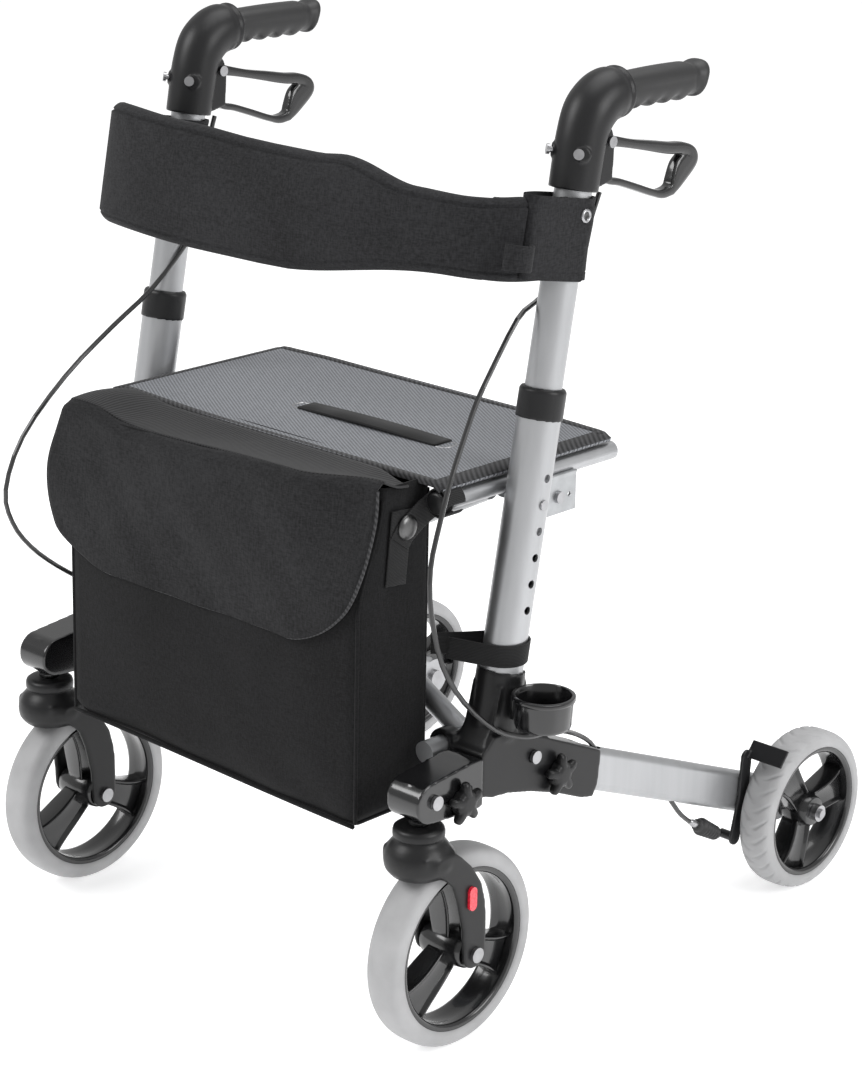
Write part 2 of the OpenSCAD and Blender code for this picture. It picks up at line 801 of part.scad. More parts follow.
translate(origin_shift) {
    left() hub();  // left_hub
    left() lower_tube();  // left_lower_tube
    left() collar();  // left_collar
    left() rear_tube();  // left_rear_tube
    left() caster_arm();  // left_caster_arm
    left() saddle();  // left_saddle
    left() fasteners(true);  // left_fasteners
    left() color("black") cable_along(left_route, cable_r);  // left_cable
    left() brake_boot();  // left_brake_boot
    left() upper_tube();  // left_upper_tube
    left() elbow();  // left_elbow
    left() grip();  // left_grip
    left() handle_bolts();  // left_handle_bolts
    left() lever();  // left_lever
    left() brake_arm();  // left_brake_arm
    left() fork();  // left_fork
    left() caster_axle();  // left_caster_axle
    left() tyre(caster_x, caster_y, front_wheel_d, front_rim_r);  // left_front_tyre
    left() rim(caster_x, caster_y, front_wheel_d, front_rim_r, -26.8, 26.8, axle_r, 95);  // left_front_rim
    left() tyre(rear_wheel_x, rear_y, rear_wheel_d, rear_rim_r);  // left_rear_tyre
    left() rim(rear_wheel_x, rear_y, rear_wheel_d, rear_rim_r, -19.6, 19.6, rear_axle_r, 10);  // left_rear_rim
    left() reflector();  // left_reflector
    left() knob(caster_x + 20.4, front_knob_y, front_knob_z);  // left_front_knob
    left() knob(upright_x + 22.4, rear_knob_y, rear_knob_z);  // left_rear_knob
    right() hub();  // right_hub
    right() lower_tube();  // right_lower_tube
    right() collar();  // right_collar
    right() rear_tube();  // right_rear_tube
    right() caster_arm();  // right_caster_arm
    right() saddle();  // right_saddle
    right() fasteners(false);  // right_fasteners
    right() color("black") cable_along(right_route, cable_r);  // right_cable
    right() brake_boot();  // right_brake_boot
    right() upper_tube();  // right_upper_tube
    right() elbow();  // right_elbow
    right() grip();  // right_grip
    right() handle_bolts();  // right_handle_bolts
    right() lever();  // right_lever
    right() brake_arm();  // right_brake_arm
    right() fork();  // right_fork
    right() caster_axle();  // right_caster_axle
    right() tyre(caster_x, caster_y, front_wheel_d, front_rim_r);  // right_front_tyre
    right() rim(caster_x, caster_y, front_wheel_d, front_rim_r, -26.8, 26.8, axle_r, 95);  // right_front_rim
    right() tyre(rear_wheel_x, rear_y, rear_wheel_d, rear_rim_r);  // right_rear_tyre
    right() rim(rear_wheel_x, rear_y, rear_wheel_d, rear_rim_r, -19.6, 19.6, rear_axle_r, 10);  // right_rear_rim
    right() reflector();  // right_reflector
    right() knob(caster_x + 20.4, front_knob_y, front_knob_z);  // right_front_knob
    right() knob(upright_x + 22.4, rear_knob_y, rear_knob_z);  // right_rear_knob
    cane_cup();
    bag();
    bag_flap();
    backrest();
    left() brace(brace_a_y);  // brace_a
    right() brace(brace_b_y);  // brace_b
    brace_pivot();
    left() rail();  // left_rail
    right() rail();  // right_rail
    seat_mesh();
    seat_strap();
}
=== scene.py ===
import bpy
import bmesh
import math
import numpy as np
from mathutils import Matrix, Vector


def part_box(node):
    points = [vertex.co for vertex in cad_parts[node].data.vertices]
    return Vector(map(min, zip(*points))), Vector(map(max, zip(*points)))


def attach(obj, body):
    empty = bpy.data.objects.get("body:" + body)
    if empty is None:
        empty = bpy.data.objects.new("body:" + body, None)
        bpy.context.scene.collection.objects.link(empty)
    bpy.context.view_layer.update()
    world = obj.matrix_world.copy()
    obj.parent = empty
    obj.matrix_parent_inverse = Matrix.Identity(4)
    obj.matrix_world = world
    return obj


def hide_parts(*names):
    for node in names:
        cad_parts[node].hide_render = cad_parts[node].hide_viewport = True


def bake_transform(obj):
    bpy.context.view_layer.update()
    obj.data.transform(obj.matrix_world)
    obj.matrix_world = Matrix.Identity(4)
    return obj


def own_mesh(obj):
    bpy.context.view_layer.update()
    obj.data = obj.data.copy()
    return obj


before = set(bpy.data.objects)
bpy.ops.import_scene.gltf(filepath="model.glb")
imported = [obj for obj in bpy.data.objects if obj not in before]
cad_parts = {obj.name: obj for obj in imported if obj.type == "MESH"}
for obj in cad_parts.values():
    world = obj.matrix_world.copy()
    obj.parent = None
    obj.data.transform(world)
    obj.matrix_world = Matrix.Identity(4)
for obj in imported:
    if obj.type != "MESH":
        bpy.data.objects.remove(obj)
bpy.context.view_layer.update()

SIDES = (("left", 1), ("right", -1))


# ---------------------------------------------------------------- places

def middle(node):
    """Centre of a CAD node's box, in metres."""
    low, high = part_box(node)
    return (Vector(low) + Vector(high)) / 2


# Design coordinates in millimetres: x from the middle plane, y with the caster axles at -300, z from the floor
MID_X = (middle("left_lower_tube").x + middle("right_lower_tube").x) / 2
AXLE_Y = middle("left_caster_axle").y
UP_X = 261.5
LEAN = math.radians(10.4)


def pt(x, y, z):
    """Design millimetres to the row frame's metres."""
    return Vector((MID_X + x / 1000, AXLE_Y + (y + 300) / 1000, z / 1000))


def on_upright(t, out=0.0, back=0.0):
    """Design point at distance t along the left upright, moved outwards and backwards across it."""
    y = -231 + t * math.sin(LEAN) + back * math.cos(LEAN)
    z = 362 + t * math.cos(LEAN) - back * math.sin(LEAN)
    return (UP_X + out, y, z)


# ---------------------------------------------------------------- mesh tools

def mesh_object(name, verts, faces, smooth=True):
    """Mesh object from points and faces, with its normals made consistent."""
    mesh = bpy.data.meshes.new(name)
    mesh.from_pydata([tuple(v) for v in verts], [], faces)
    bm = bmesh.new()
    bm.from_mesh(mesh)
    bmesh.ops.remove_doubles(bm, verts=bm.verts, dist=1e-6)
    bmesh.ops.recalc_face_normals(bm, faces=bm.faces)
    bm.to_mesh(mesh)
    bm.free()
    mesh.polygons.foreach_set("use_smooth", [smooth] * len(mesh.polygons))
    obj = bpy.data.objects.new(name, mesh)
    bpy.context.scene.collection.objects.link(obj)
    return obj


def loft(name, rings, closed=False, caps=True):
    """Closed rings of equal length joined into one surface."""
    n = len(rings[0])
    m = len(rings)
    verts = [p for ring in rings for p in ring]
    faces = []
    for i in range(m if closed else m - 1):
        a, b = i * n, ((i + 1) % m) * n
        faces += [(a + k, a + (k + 1) % n, b + (k + 1) % n, b + k) for k in range(n)]
    if caps and not closed:
        faces += [tuple(range(n - 1, -1, -1)), tuple(range((m - 1) * n, m * n))]
    return mesh_object(name, verts, faces)


def join(name, parts):
    """Several objects made into one mesh object."""
    bm = bmesh.new()
    for part in parts:
        bm.from_mesh(part.data)
        bpy.data.objects.remove(part)
    mesh = bpy.data.meshes.new(name)
    bm.to_mesh(mesh)
    bm.free()
    mesh.polygons.foreach_set("use_smooth", [True] * len(mesh.polygons))
    obj = bpy.data.objects.new(name, mesh)
    bpy.context.scene.collection.objects.link(obj)
    return obj


def apply_modifiers(obj):
    """Bakes an object's modifiers into its mesh."""
    deps = bpy.context.evaluated_depsgraph_get()
    mesh = bpy.data.meshes.new_from_object(obj.evaluated_get(deps))
    obj.modifiers.clear()
    obj.data = mesh
    mesh.polygons.foreach_set("use_smooth", [True] * len(mesh.polygons))
    return obj


def add(obj, kind, **values):
    """Adds a modifier with the given settings."""
    modifier = obj.modifiers.new(kind.lower(), kind)
    for key, value in values.items():
        setattr(modifier, key, value)
    return modifier


def catmull(points, steps):
    """Smooth curve through the points, with steps pieces between each pair."""
    p = [Vector(q) for q in points]
    out = []
    for i in range(len(p) - 1):
        a, b, c, d = p[max(i - 1, 0)], p[i], p[i + 1], p[min(i + 2, len(p) - 1)]
        for k in range(steps):
            t = k / steps
            out.append(0.5 * (2 * b + (c - a) * t + (2 * a - 5 * b + 4 * c - d) * t * t
                              + (3 * b - a - 3 * c + d) * t ** 3))
    out.append(p[-1])
    return out


def frames(path, up=(0, 0, 1)):
    """Tangent and two cross vectors at each point of a path, carried along without twist."""
    out = []
    last = len(path) - 1
    side = None
    for i in range(last + 1):
        t = (path[min(i + 1, last)] - path[max(i - 1, 0)]).normalized()
        if side is None:
            side = t.cross(Vector(up))
            if side.length < 1e-4:
                side = t.cross(Vector((1, 0, 0)))
        side = (side - t * side.dot(t)).normalized()
        out.append((t, side, t.cross(side)))
    return out


def tube_path(name, path, radius, sides=14, caps=True, up=(0, 0, 1)):
    """Round tube along a path; radius is a number or a function of the share of the path."""
    rings = []
    for i, (p, (t, u, v)) in enumerate(zip(path, frames(path, up))):
        r = radius(i / (len(path) - 1)) if callable(radius) else radius
        rings.append([p + r * (u * math.cos(2 * math.pi * k / sides)
                               + v * math.sin(2 * math.pi * k / sides)) for k in range(sides)])
    return loft(name, rings, caps=caps)


def strip_path(name, path, sides_dir, width, thick):
    """Flat strap along a path; sides_dir gives the strap's width direction at each point."""
    rings = []
    last = len(path) - 1
    for i, p in enumerate(path):
        t = (path[min(i + 1, last)] - path[max(i - 1, 0)]).normalized()
        s = Vector(sides_dir(i / last) if callable(sides_dir) else sides_dir)
        s = (s - t * s.dot(t)).normalized()
        n = t.cross(s)
        w = width(i / last) if callable(width) else width
        ring = []
        for a, b in ((-1, -0.5), (-0.94, -1), (0, -1), (0.94, -1), (1, -0.5),
                     (1, 0.5), (0.94, 1), (0, 1), (-0.94, 1), (-1, 0.5)):
            ring.append(p + s * (a * w / 2) + n * (b * thick / 2))
        rings.append(ring)
    return loft(name, rings)


def revolve(name, profile, centre, axis="x", steps=64, wave=None):
    """Ring of (radius, along) points turned about an axis through centre; wave may shift a point's radius."""
    rings = []
    for i in range(steps):
        a = 2 * math.pi * i / steps
        ring = []
        for k, (r, w) in enumerate(profile):
            rr = r + (wave(a, k, w) if wave else 0)
            c, s = rr * math.cos(a), rr * math.sin(a)
            if axis == "x":
                ring.append(centre + Vector((w, c, s)) / 1000)
            elif axis == "y":
                ring.append(centre + Vector((s, w, c)) / 1000)
            else:
                ring.append(centre + Vector((c, s, w)) / 1000)
        rings.append(ring)
    return loft(name, rings, closed=True)


def dome(name, centre, direction, profile, steps=40):
    """Solid of revolution about a free direction; profile is (radius, along) from pole to pole, in mm."""
    d = Vector(direction).normalized()
    u = d.orthogonal().normalized()
    v = d.cross(u)
    rings = []
    for r, w in profile:
        rings.append([centre + (d * w + u * (r * math.cos(2 * math.pi * k / steps))
                                + v * (r * math.sin(2 * math.pi * k / steps))) / 1000
                      for k in range(steps)])
    return loft(name, rings)


def softened(name, node, voxel=1.6, rounds=4, keep_node=False):
    """Copy of a CAD node with small fillets on every edge, as a cast or moulded part has."""
    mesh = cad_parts[node].data.copy()
    obj = bpy.data.objects.new(name, mesh)
    bpy.context.scene.collection.objects.link(obj)
    mesh.transform(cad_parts[node].matrix_world)
    add(obj, "REMESH", mode="VOXEL", voxel_size=voxel / 1000, use_smooth_shade=True)
    add(obj, "SMOOTH", factor=0.5, iterations=rounds)
    apply_modifiers(obj)
    obj.data.materials.clear()
    if not keep_node:
        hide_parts(node)
    return obj


# ---------------------------------------------------------------- materials

class Shader:
    """A material with a Principled shader and short calls for the nodes that feed it."""

    def __init__(self, name, color, rough, metal=0.0, **sockets):
        self.mat = bpy.data.materials.new(name)
        self.mat.use_nodes = True
        self.tree = self.mat.node_tree
        self.bsdf = self.tree.nodes["Principled BSDF"]
        self.bsdf.inputs["Base Color"].default_value = (*color, 1)
        self.bsdf.inputs["Roughness"].default_value = rough
        self.bsdf.inputs["Metallic"].default_value = metal
        for key, value in sockets.items():
            self.bsdf.inputs[key.replace("_", " ")].default_value = value
        self.coord = self.new("ShaderNodeTexCoord").outputs["Object"]

    def new(self, kind, **values):
        node = self.tree.nodes.new(kind)
        for key, value in values.items():
            setattr(node, key, value)
        return node

    def link(self, a, b):
        self.tree.links.new(a, b)
        return self

    def noise(self, scale, detail=3.0, stretch=None):
        node = self.new("ShaderNodeTexNoise")
        node.inputs["Scale"].default_value = scale
        node.inputs["Detail"].default_value = detail
        self.link(self.mapped(stretch) if stretch else self.coord, node.inputs["Vector"])
        return node.outputs["Fac"]

    def mapped(self, scale=(1, 1, 1), rotation=(0, 0, 0)):
        node = self.new("ShaderNodeMapping")
        node.inputs["Scale"].default_value = scale
        node.inputs["Rotation"].default_value = rotation
        self.link(self.coord, node.inputs["Vector"])
        return node.outputs["Vector"]

    def bands(self, pitch, axis, rotation=(0, 0, 0)):
        """Sine bands across an axis, one each pitch metres."""
        node = self.new("ShaderNodeTexWave", wave_type="BANDS", bands_direction=axis)
        node.inputs["Scale"].default_value = math.pi / 10 / pitch
        node.inputs["Distortion"].default_value = 0.0
        self.link(self.mapped(rotation=rotation), node.inputs["Vector"])
        return node.outputs["Fac"]

    def math(self, kind, a, b):
        node = self.new("ShaderNodeMath", operation=kind)
        for value, socket in ((a, node.inputs[0]), (b, node.inputs[1])):
            if isinstance(value, (int, float)):
                socket.default_value = value
            else:
                self.link(value, socket)
        return node.outputs[0]

    def ramp(self, value, low, high, start=0.3, end=0.7):
        """Colour that goes from low to high as value goes from start to end."""
        node = self.new("ShaderNodeValToRGB")
        node.color_ramp.elements[0].position = start
        node.color_ramp.elements[1].position = end
        node.color_ramp.elements[0].color = (*low, 1)
        node.color_ramp.elements[1].color = (*high, 1)
        self.link(value, node.inputs["Fac"])
        return node.outputs["Color"]

    def range(self, value, low, high):
        node = self.new("ShaderNodeMapRange")
        node.inputs["To Min"].default_value = low
        node.inputs["To Max"].default_value = high
        self.link(value, node.inputs["Value"])
        return node.outputs["Result"]

    def color(self, source):
        return self.link(source, self.bsdf.inputs["Base Color"])

    def rough(self, value, low, high):
        return self.link(self.range(value, low, high), self.bsdf.inputs["Roughness"])

    def bump(self, height, strength, distance):
        node = self.new("ShaderNodeBump")
        node.inputs["Strength"].default_value = strength
        node.inputs["Distance"].default_value = distance
        self.link(height, node.inputs["Height"])
        old = self.bsdf.inputs["Normal"]
        if old.is_linked:
            self.link(old.links[0].from_socket, node.inputs["Normal"])
        return self.link(node.outputs["Normal"], self.bsdf.inputs["Normal"])


def shade(color, share):
    """A colour made lighter or darker."""
    return tuple(min(1.0, c * share) for c in color)


def anodised(name, color):
    s = Shader(name, color, 0.34, 0.85)
    streaks = s.noise(60, 4, (1, 1, 0.06))
    s.color(s.ramp(streaks, shade(color, 0.93), shade(color, 1.05)))
    s.rough(s.noise(25, 2), 0.3, 0.42)
    s.bump(s.noise(2400, 2), 0.06, 0.0002)
    return s.mat


def metal(name, color, rough):
    s = Shader(name, color, rough, 1.0)
    s.rough(s.noise(180, 3), rough * 0.8, rough * 1.4)
    s.color(s.ramp(s.noise(90, 3), shade(color, 0.85), shade(color, 1.06)))
    s.bump(s.noise(900, 2), 0.05, 0.0002)
    return s.mat


def moulded(name, color, rough, grain=0.25, spread=0.12):
    """Moulded plastic with a fine spark-eroded grain."""
    s = Shader(name, color, rough, Specular_IOR_Level=0.32)
    s.color(s.ramp(s.noise(18, 3), shade(color, 1 - spread), shade(color, 1 + spread)))
    s.rough(s.noise(70, 3), rough * 0.88, min(rough * 1.12, 1))
    s.bump(s.noise(1500, 3), grain, 0.00025)
    s.bump(s.noise(30, 2), 0.04, 0.002)
    return s.mat


def gloss(name, color, rough=0.16):
    """Shiny black plastic with the faint waviness of a moulding."""
    s = Shader(name, color, rough, Coat_Weight=0.4, Coat_Roughness=0.08)
    s.rough(s.noise(45, 3), rough * 0.7, rough * 1.6)
    s.color(s.ramp(s.noise(22, 2), shade(color, 0.85), shade(color, 1.25)))
    s.bump(s.noise(55, 2), 0.05, 0.0012)
    return s.mat


def rubber(name, color, rough=0.6, mottle=0.06):
    s = Shader(name, color, rough)
    cloud = s.noise(26, 5)
    s.color(s.ramp(cloud, shade(color, 1 - mottle), shade(color, 1 + mottle)))
    s.rough(s.noise(60, 3), rough * 0.88, rough * 1.1)
    s.bump(s.noise(900, 3), 0.18, 0.0003)
    return s.mat


def cloth(name, color, thread, strength=0.5, contrast=0.3, rough=0.9, sheen=0.03):
    """Woven fabric: short threads that run both ways, painted shade in the gaps between them (the colour
    follows the bump's weave), and loose colour variation.
    """
    s = Shader(name, color, rough, Sheen_Weight=sheen, Sheen_Roughness=0.5, Specular_IOR_Level=0.2)
    fine = 1 / thread
    weft = s.noise(fine, 2, (1, 1, 0.25))
    warp = s.noise(fine, 2, (0.3, 0.3, 1.2))
    weave = s.math("ADD", s.math("MULTIPLY", weft, 0.5), s.math("MULTIPLY", warp, 0.5))
    cloud = s.noise(8, 4)
    # Colour follows the weave: threads lighter, painted shade in the low gaps between them, plus loose colour
    # variation
    tone = s.math("ADD", s.math("MULTIPLY", weave, 0.75), s.math("MULTIPLY", cloud, 0.25))
    s.color(s.ramp(tone, shade(color, 1 - contrast), shade(color, 1 + contrast), 0.38, 0.62))
    s.bump(weave, strength, 0.0006)
    return s.mat


def ribbed_tape(name, color, pitch, axis):
    """Grosgrain tape or webbing with ribs across an axis."""
    s = Shader(name, color, 0.75, Sheen_Weight=0.05, Specular_IOR_Level=0.3)
    ribs = s.bands(pitch, axis)
    s.color(s.ramp(s.math("ADD", s.math("MULTIPLY", ribs, 0.6), s.math("MULTIPLY", s.noise(900, 3), 0.4)),
                   shade(color, 0.45), shade(color, 1.6), 0.25, 0.85))
    s.bump(ribs, 0.6, 0.0006)
    return s.mat


def seat_weave(name, dark, light):
    """Coarse open mesh in two greys, with diagonal rows as on a woven sling seat."""
    s = Shader(name, dark, 0.6, Specular_IOR_Level=0.35)
    tilt = s.bands(0.0034, "X", (0, 0, math.radians(32)))
    cross = s.bands(0.0034, "Y", (0, 0, math.radians(32)))
    mixed = s.math("ADD", s.math("MULTIPLY", tilt, 0.45), s.math("MULTIPLY", cross, 0.35))
    mixed = s.math("ADD", mixed, s.math("MULTIPLY", s.noise(420, 3), 0.3))
    s.color(s.ramp(mixed, dark, light, 0.25, 0.8))
    s.bump(mixed, 0.6, 0.0008)
    return s.mat


def reflector_red(name):
    # Faint red emission: a painted glow on the reflector, which is no lamp
    s = Shader(name, (0.75, 0.01, 0.03), 0.12, Coat_Weight=0.8, Emission_Strength=0.04)
    s.bsdf.inputs["Emission Color"].default_value = (0.9, 0.02, 0.05, 1)
    cells = s.new("ShaderNodeTexVoronoi")
    cells.inputs["Scale"].default_value = 420
    s.link(s.coord, cells.inputs["Vector"])
    s.bump(cells.outputs["Distance"], 0.35, 0.0006)
    s.color(s.ramp(cells.outputs["Distance"], (0.9, 0.03, 0.07), (0.6, 0.005, 0.02), 0.0, 0.7))
    return s.mat


SILVER = anodised("anodised_silver", (0.42, 0.425, 0.435))
STEEL = metal("zinc_steel", (0.40, 0.40, 0.41), 0.28)
GREY_METAL = metal("grey_bracket", (0.42, 0.43, 0.44), 0.35)
CASTING = moulded("charcoal_casting", (0.0065, 0.0065, 0.007), 0.33)
ELBOW = moulded("dark_grey_plastic", (0.0095, 0.0095, 0.0102), 0.38)
FORK = moulded("fork_plastic", (0.0085, 0.0085, 0.009), 0.38)
GLOSS = gloss("gloss_black", (0.006, 0.006, 0.0065))
RIM = gloss("rim_black", (0.007, 0.007, 0.0075), 0.2)
KNOB = moulded("knob_black", (0.007, 0.007, 0.0074), 0.34)
GRIP = rubber("grip_rubber", (0.011, 0.011, 0.0115), 0.48)
CABLE = gloss("cable_jacket", (0.009, 0.009, 0.0095), 0.32)
BOOT = rubber("boot_rubber", (0.02, 0.02, 0.021), 0.55)
TYRE = rubber("grey_tyre", (0.36, 0.36, 0.365), 0.55, 0.1)
BLACK_METAL = moulded("black_paint", (0.015, 0.015, 0.016), 0.3, 0.12)
BAG = cloth("bag_nylon", (0.0078, 0.0078, 0.0083), 0.0012, 0.6, 0.55)
FLAP = cloth("flap_canvas", (0.0155, 0.0155, 0.0165), 0.0016, 0.6, 0.5)
BACK = cloth("backrest_canvas", (0.0165, 0.0165, 0.0178), 0.0016, 0.6, 0.5)
BINDING = ribbed_tape("binding_tape", (0.036, 0.036, 0.038), 0.0034, "DIAGONAL")
GUSSET = ribbed_tape("gusset_tape", (0.022, 0.022, 0.023), 0.0040, "X")
WEBBING = ribbed_tape("webbing", (0.010, 0.010, 0.0105), 0.0014, "Z")
SNAP = metal("dark_snap", (0.12, 0.12, 0.12), 0.3)
SEAT = seat_weave("seat_mesh_grey", (0.05, 0.052, 0.058), (0.27, 0.28, 0.30))
RED = reflector_red("red_reflector")


def finish_piece(obj, material, body, slot, *nodes):
    """Material, body and replaced nodes of a new piece; its slot is not used."""
    obj.data.materials.clear()
    obj.data.materials.append(material)
    if nodes:
        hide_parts(*nodes)
    if body:
        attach(obj, body)
    return obj


def repaint(node, material):
    """Better material on a CAD node that stays."""
    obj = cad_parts[node]
    if not obj.data.materials:
        obj.data.materials.append(material)
    for one in obj.material_slots:
        one.material = material


# ---------------------------------------------------------------- camera, floor and light

def make_camera():
    """Camera solved for the photograph: place, aim, roll, focal length and shift."""
    yaw, pitch, roll = (math.radians(a) for a in (-43.37, -17.05, 0.89))
    ahead = Vector((math.sin(yaw) * math.cos(pitch), math.cos(yaw) * math.cos(pitch), math.sin(pitch)))
    right = ahead.cross(Vector((0, 0, 1))).normalized()
    up = right.cross(ahead)
    side = right * math.cos(roll) + up * math.sin(roll)
    top = up * math.cos(roll) - right * math.sin(roll)
    data = bpy.data.cameras.new("camera")
    data.sensor_width = 36
    data.lens = 98.745
    data.shift_x = 0.0335
    data.shift_y = -0.0692
    data.clip_end = 50
    camera = bpy.data.objects.new("camera", data)
    turn = Matrix((side, top, -ahead)).transposed().to_4x4()
    camera.matrix_world = Matrix.Translation(pt(1988.94, -2210.82, 1365.64)) @ turn
    bpy.context.scene.collection.objects.link(camera)
    bpy.context.scene.camera = camera


def area_light(name, place, aim, size, power):
    data = bpy.data.lights.new(name, "AREA")
    data.size = size
    data.energy = power
    light = bpy.data.objects.new(name, data)
    light.location = place
    light.rotation_euler = (Vector(aim) - Vector(place)).to_track_quat("-Z", "Y").to_euler()
    bpy.context.scene.collection.objects.link(light)


def make_studio():
    """Pale floor, white surroundings and soft lights."""
    bpy.ops.mesh.primitive_plane_add(size=30, location=(0, 0, 0))
    floor = bpy.context.object
    floor.name = "floor"
    paint = Shader("floor_white", (0.93, 0.93, 0.935), 0.35, Emission_Strength=0.45)
    paint.bsdf.inputs["Emission Color"].default_value = (1, 1, 1, 1)
    paint.rough(paint.noise(3, 2), 0.3, 0.4)
    floor.data.materials.append(paint.mat)
    world = bpy.data.worlds.new("studio")
    bpy.context.scene.world = world
    world.use_nodes = True
    world.node_tree.nodes["Background"].inputs["Color"].default_value = (1, 1, 1, 1)
    world.node_tree.nodes["Background"].inputs["Strength"].default_value = 0.6
    area_light("key", (-1.6, -2.6, 2.9), (0, 0, 0.5), 1.8, 70)
    area_light("side", (3.0, 0.6, 1.9), (0, 0, 0.5), 1.6, 50)
    area_light("top", (0.2, 0.6, 3.4), (0, 0, 0.4), 2.2, 45)
    bpy.context.scene.view_settings.view_transform = "Standard"


# ---------------------------------------------------------------- wheels

def tyre(name, centre, radius, rim_r, half, body, node, tread):
    """Tyre as a ring with a round crown; tread is the depth of its slanted grooves, or 0."""
    profile = []
    count = 34
    for i in range(count + 1):
        a = math.pi * i / count
        c, s = math.cos(a), math.sin(a)
        w = half * math.copysign(abs(c) ** 0.62, c)
        r = rim_r + (radius - rim_r) * abs(s) ** 0.5
        profile.append((r, w))
    profile += [(rim_r - 2.5, -half * 0.55), (rim_r - 2.5, half * 0.55)]
    blocks = 30

    def groove(a, k, w):
        if k > count or not tread:
            return 0
        shoulder = abs(w) / half
        if shoulder > 0.93:
            return 0
        turn = a * blocks / (2 * math.pi) + 0.9 * shoulder ** 1.3 + (0.5 if w > 0 else 0)
        f = turn % 1.0
        dip = max(0.0, 1 - abs(f - 0.5) / 0.13)
        fade = min(1.0, shoulder * 3.5) * min(1.0, (0.95 - shoulder) * 9)
        return -tread * min(1.0, dip * 1.6) * fade

    obj = revolve(name, profile, centre, "x", 420 if tread else 140, groove)
    finish_piece(obj, TYRE, body, "grey_tyre", node)


def rim(name, centre, rim_r, ends, body, node, turn):
    """Rim with a barrel, a rolled lip, three winged spokes with raised edges, and a stepped hub."""
    parts = []
    lip = [(rim_r + 0.6, -15.5), (rim_r + 0.4, -17), (rim_r - 1.5, -18), (rim_r - 4.5, -17.6),
           (rim_r - 6.5, -16), (rim_r - 7, -13), (rim_r - 5.5, -6), (rim_r - 5, 0), (rim_r - 5.5, 6),
           (rim_r - 7, 13), (rim_r - 6.5, 16), (rim_r - 4.5, 17.6), (rim_r - 1.5, 18),
           (rim_r + 0.4, 17), (rim_r + 0.6, 15.5), (rim_r - 2.4, 14), (rim_r - 2.4, -14)]
    parts.append(revolve("barrel", lip, centre, "x", 120))
    x0, x1 = ends
    hub = [(9, x0), (15, x0 + 0.6), (16.5, x0 + 2.5), (17.5, x0 + 9), (20, -6), (20, 6), (17.5, x1 - 9),
           (16.5, x1 - 2.5), (15, x1 - 0.6), (9, x1), (9, x1 - 3), (6, x1 - 3), (6, x0 + 3), (9, x0 + 3)]
    parts.append(revolve("hub", hub, centre, "x", 60))
    reach = rim_r - 5.2
    for i in range(3):
        a = turn + 2 * math.pi * i / 3
        radial = Vector((0, math.cos(a), math.sin(a)))
        across = Vector((0, -math.sin(a), math.cos(a)))
        rings = []
        for k in range(11):
            f = k / 10
            r = 14 + (reach - 14) * f
            w = 13.5 + 3 * f + 7 * f ** 4
            deep = 10.5 + 2.2 * math.sin(math.pi * f)
            rib = 3.0
            half_ring = [(-w, deep - 3.2), (-w + 0.8, deep), (-w + rib, deep), (-w + rib + 2, deep - 4.2),
                         (0, deep - 4.8), (w - rib - 2, deep - 4.2), (w - rib, deep), (w - 0.8, deep),
                         (w, deep - 3.2)]
            outline = half_ring + [(t, -x) for t, x in reversed(half_ring)]
            rings.append([centre + (radial * r + across * t + Vector((x, 0, 0))) / 1000
                          for t, x in outline])
        spoke = loft("spoke", rings)
        add(spoke, "BEVEL", width=0.0009, segments=2, limit_method="ANGLE", angle_limit=0.6)
        parts.append(apply_modifiers(spoke))
    obj = join(name, parts)
    add(obj, "EDGE_SPLIT", split_angle=math.radians(42))
    apply_modifiers(obj)
    finish_piece(obj, RIM, body, "gloss_black", node)
    bearing = []
    for end, sign in ((x0, -1), (x1, 1)):
        bearing.append(revolve("bearing", [(5.2, end - sign * 2.6), (5.2, end - sign * 0.4),
                                           (8.8, end - sign * 0.4), (8.8, end - sign * 2.6)],
                               centre, "x", 40))
    finish_piece(join(name + "_bearings", bearing), STEEL, body, "steel")


def make_wheels():
    for side, _ in SIDES:
        front = middle(side + "_caster_axle")
        rear = middle(side + "_rear_tyre")
        tyre(side + "_front_tyre_skin", front, 100, 82.6, 19, side + "_front_wheel", side + "_front_tyre", 0)
        rim(side + "_front_rim_detail", front, 82.6, (-26.6, 26.6), side + "_front_wheel",
            side + "_front_rim", math.radians(95))
        tyre(side + "_rear_tyre_skin", rear, 87, 71.8, 19, side + "_rear_wheel", side + "_rear_tyre", 1.3)
        rim(side + "_rear_rim_detail", rear, 71.8, (-19.4, 19.4), side + "_rear_wheel",
            side + "_rear_rim", math.radians(10))


# ---------------------------------------------------------------- hard parts

def remeshed(obj, voxel, rounds):
    """Joined solids melted into one skin with soft fillets; sizes in mm."""
    add(obj, "REMESH", mode="VOXEL", voxel_size=voxel / 1000, use_smooth_shade=True)
    add(obj, "SMOOTH", factor=0.5, iterations=rounds)
    return apply_modifiers(obj)


def slab_x(name, s, x0, x1, outline):
    """Plate between x0 and x1 on side s, cut to an outline of (y, z), all in design mm."""
    return loft(name, [[pt(s * x, y, z) for y, z in outline] for x in (x0, x1)])


def bulged(value, power):
    """Sine or cosine raised to a power with its sign kept, which squares an oval's corners."""
    return math.copysign(abs(value) ** power, value)


GRIP_Z = 895


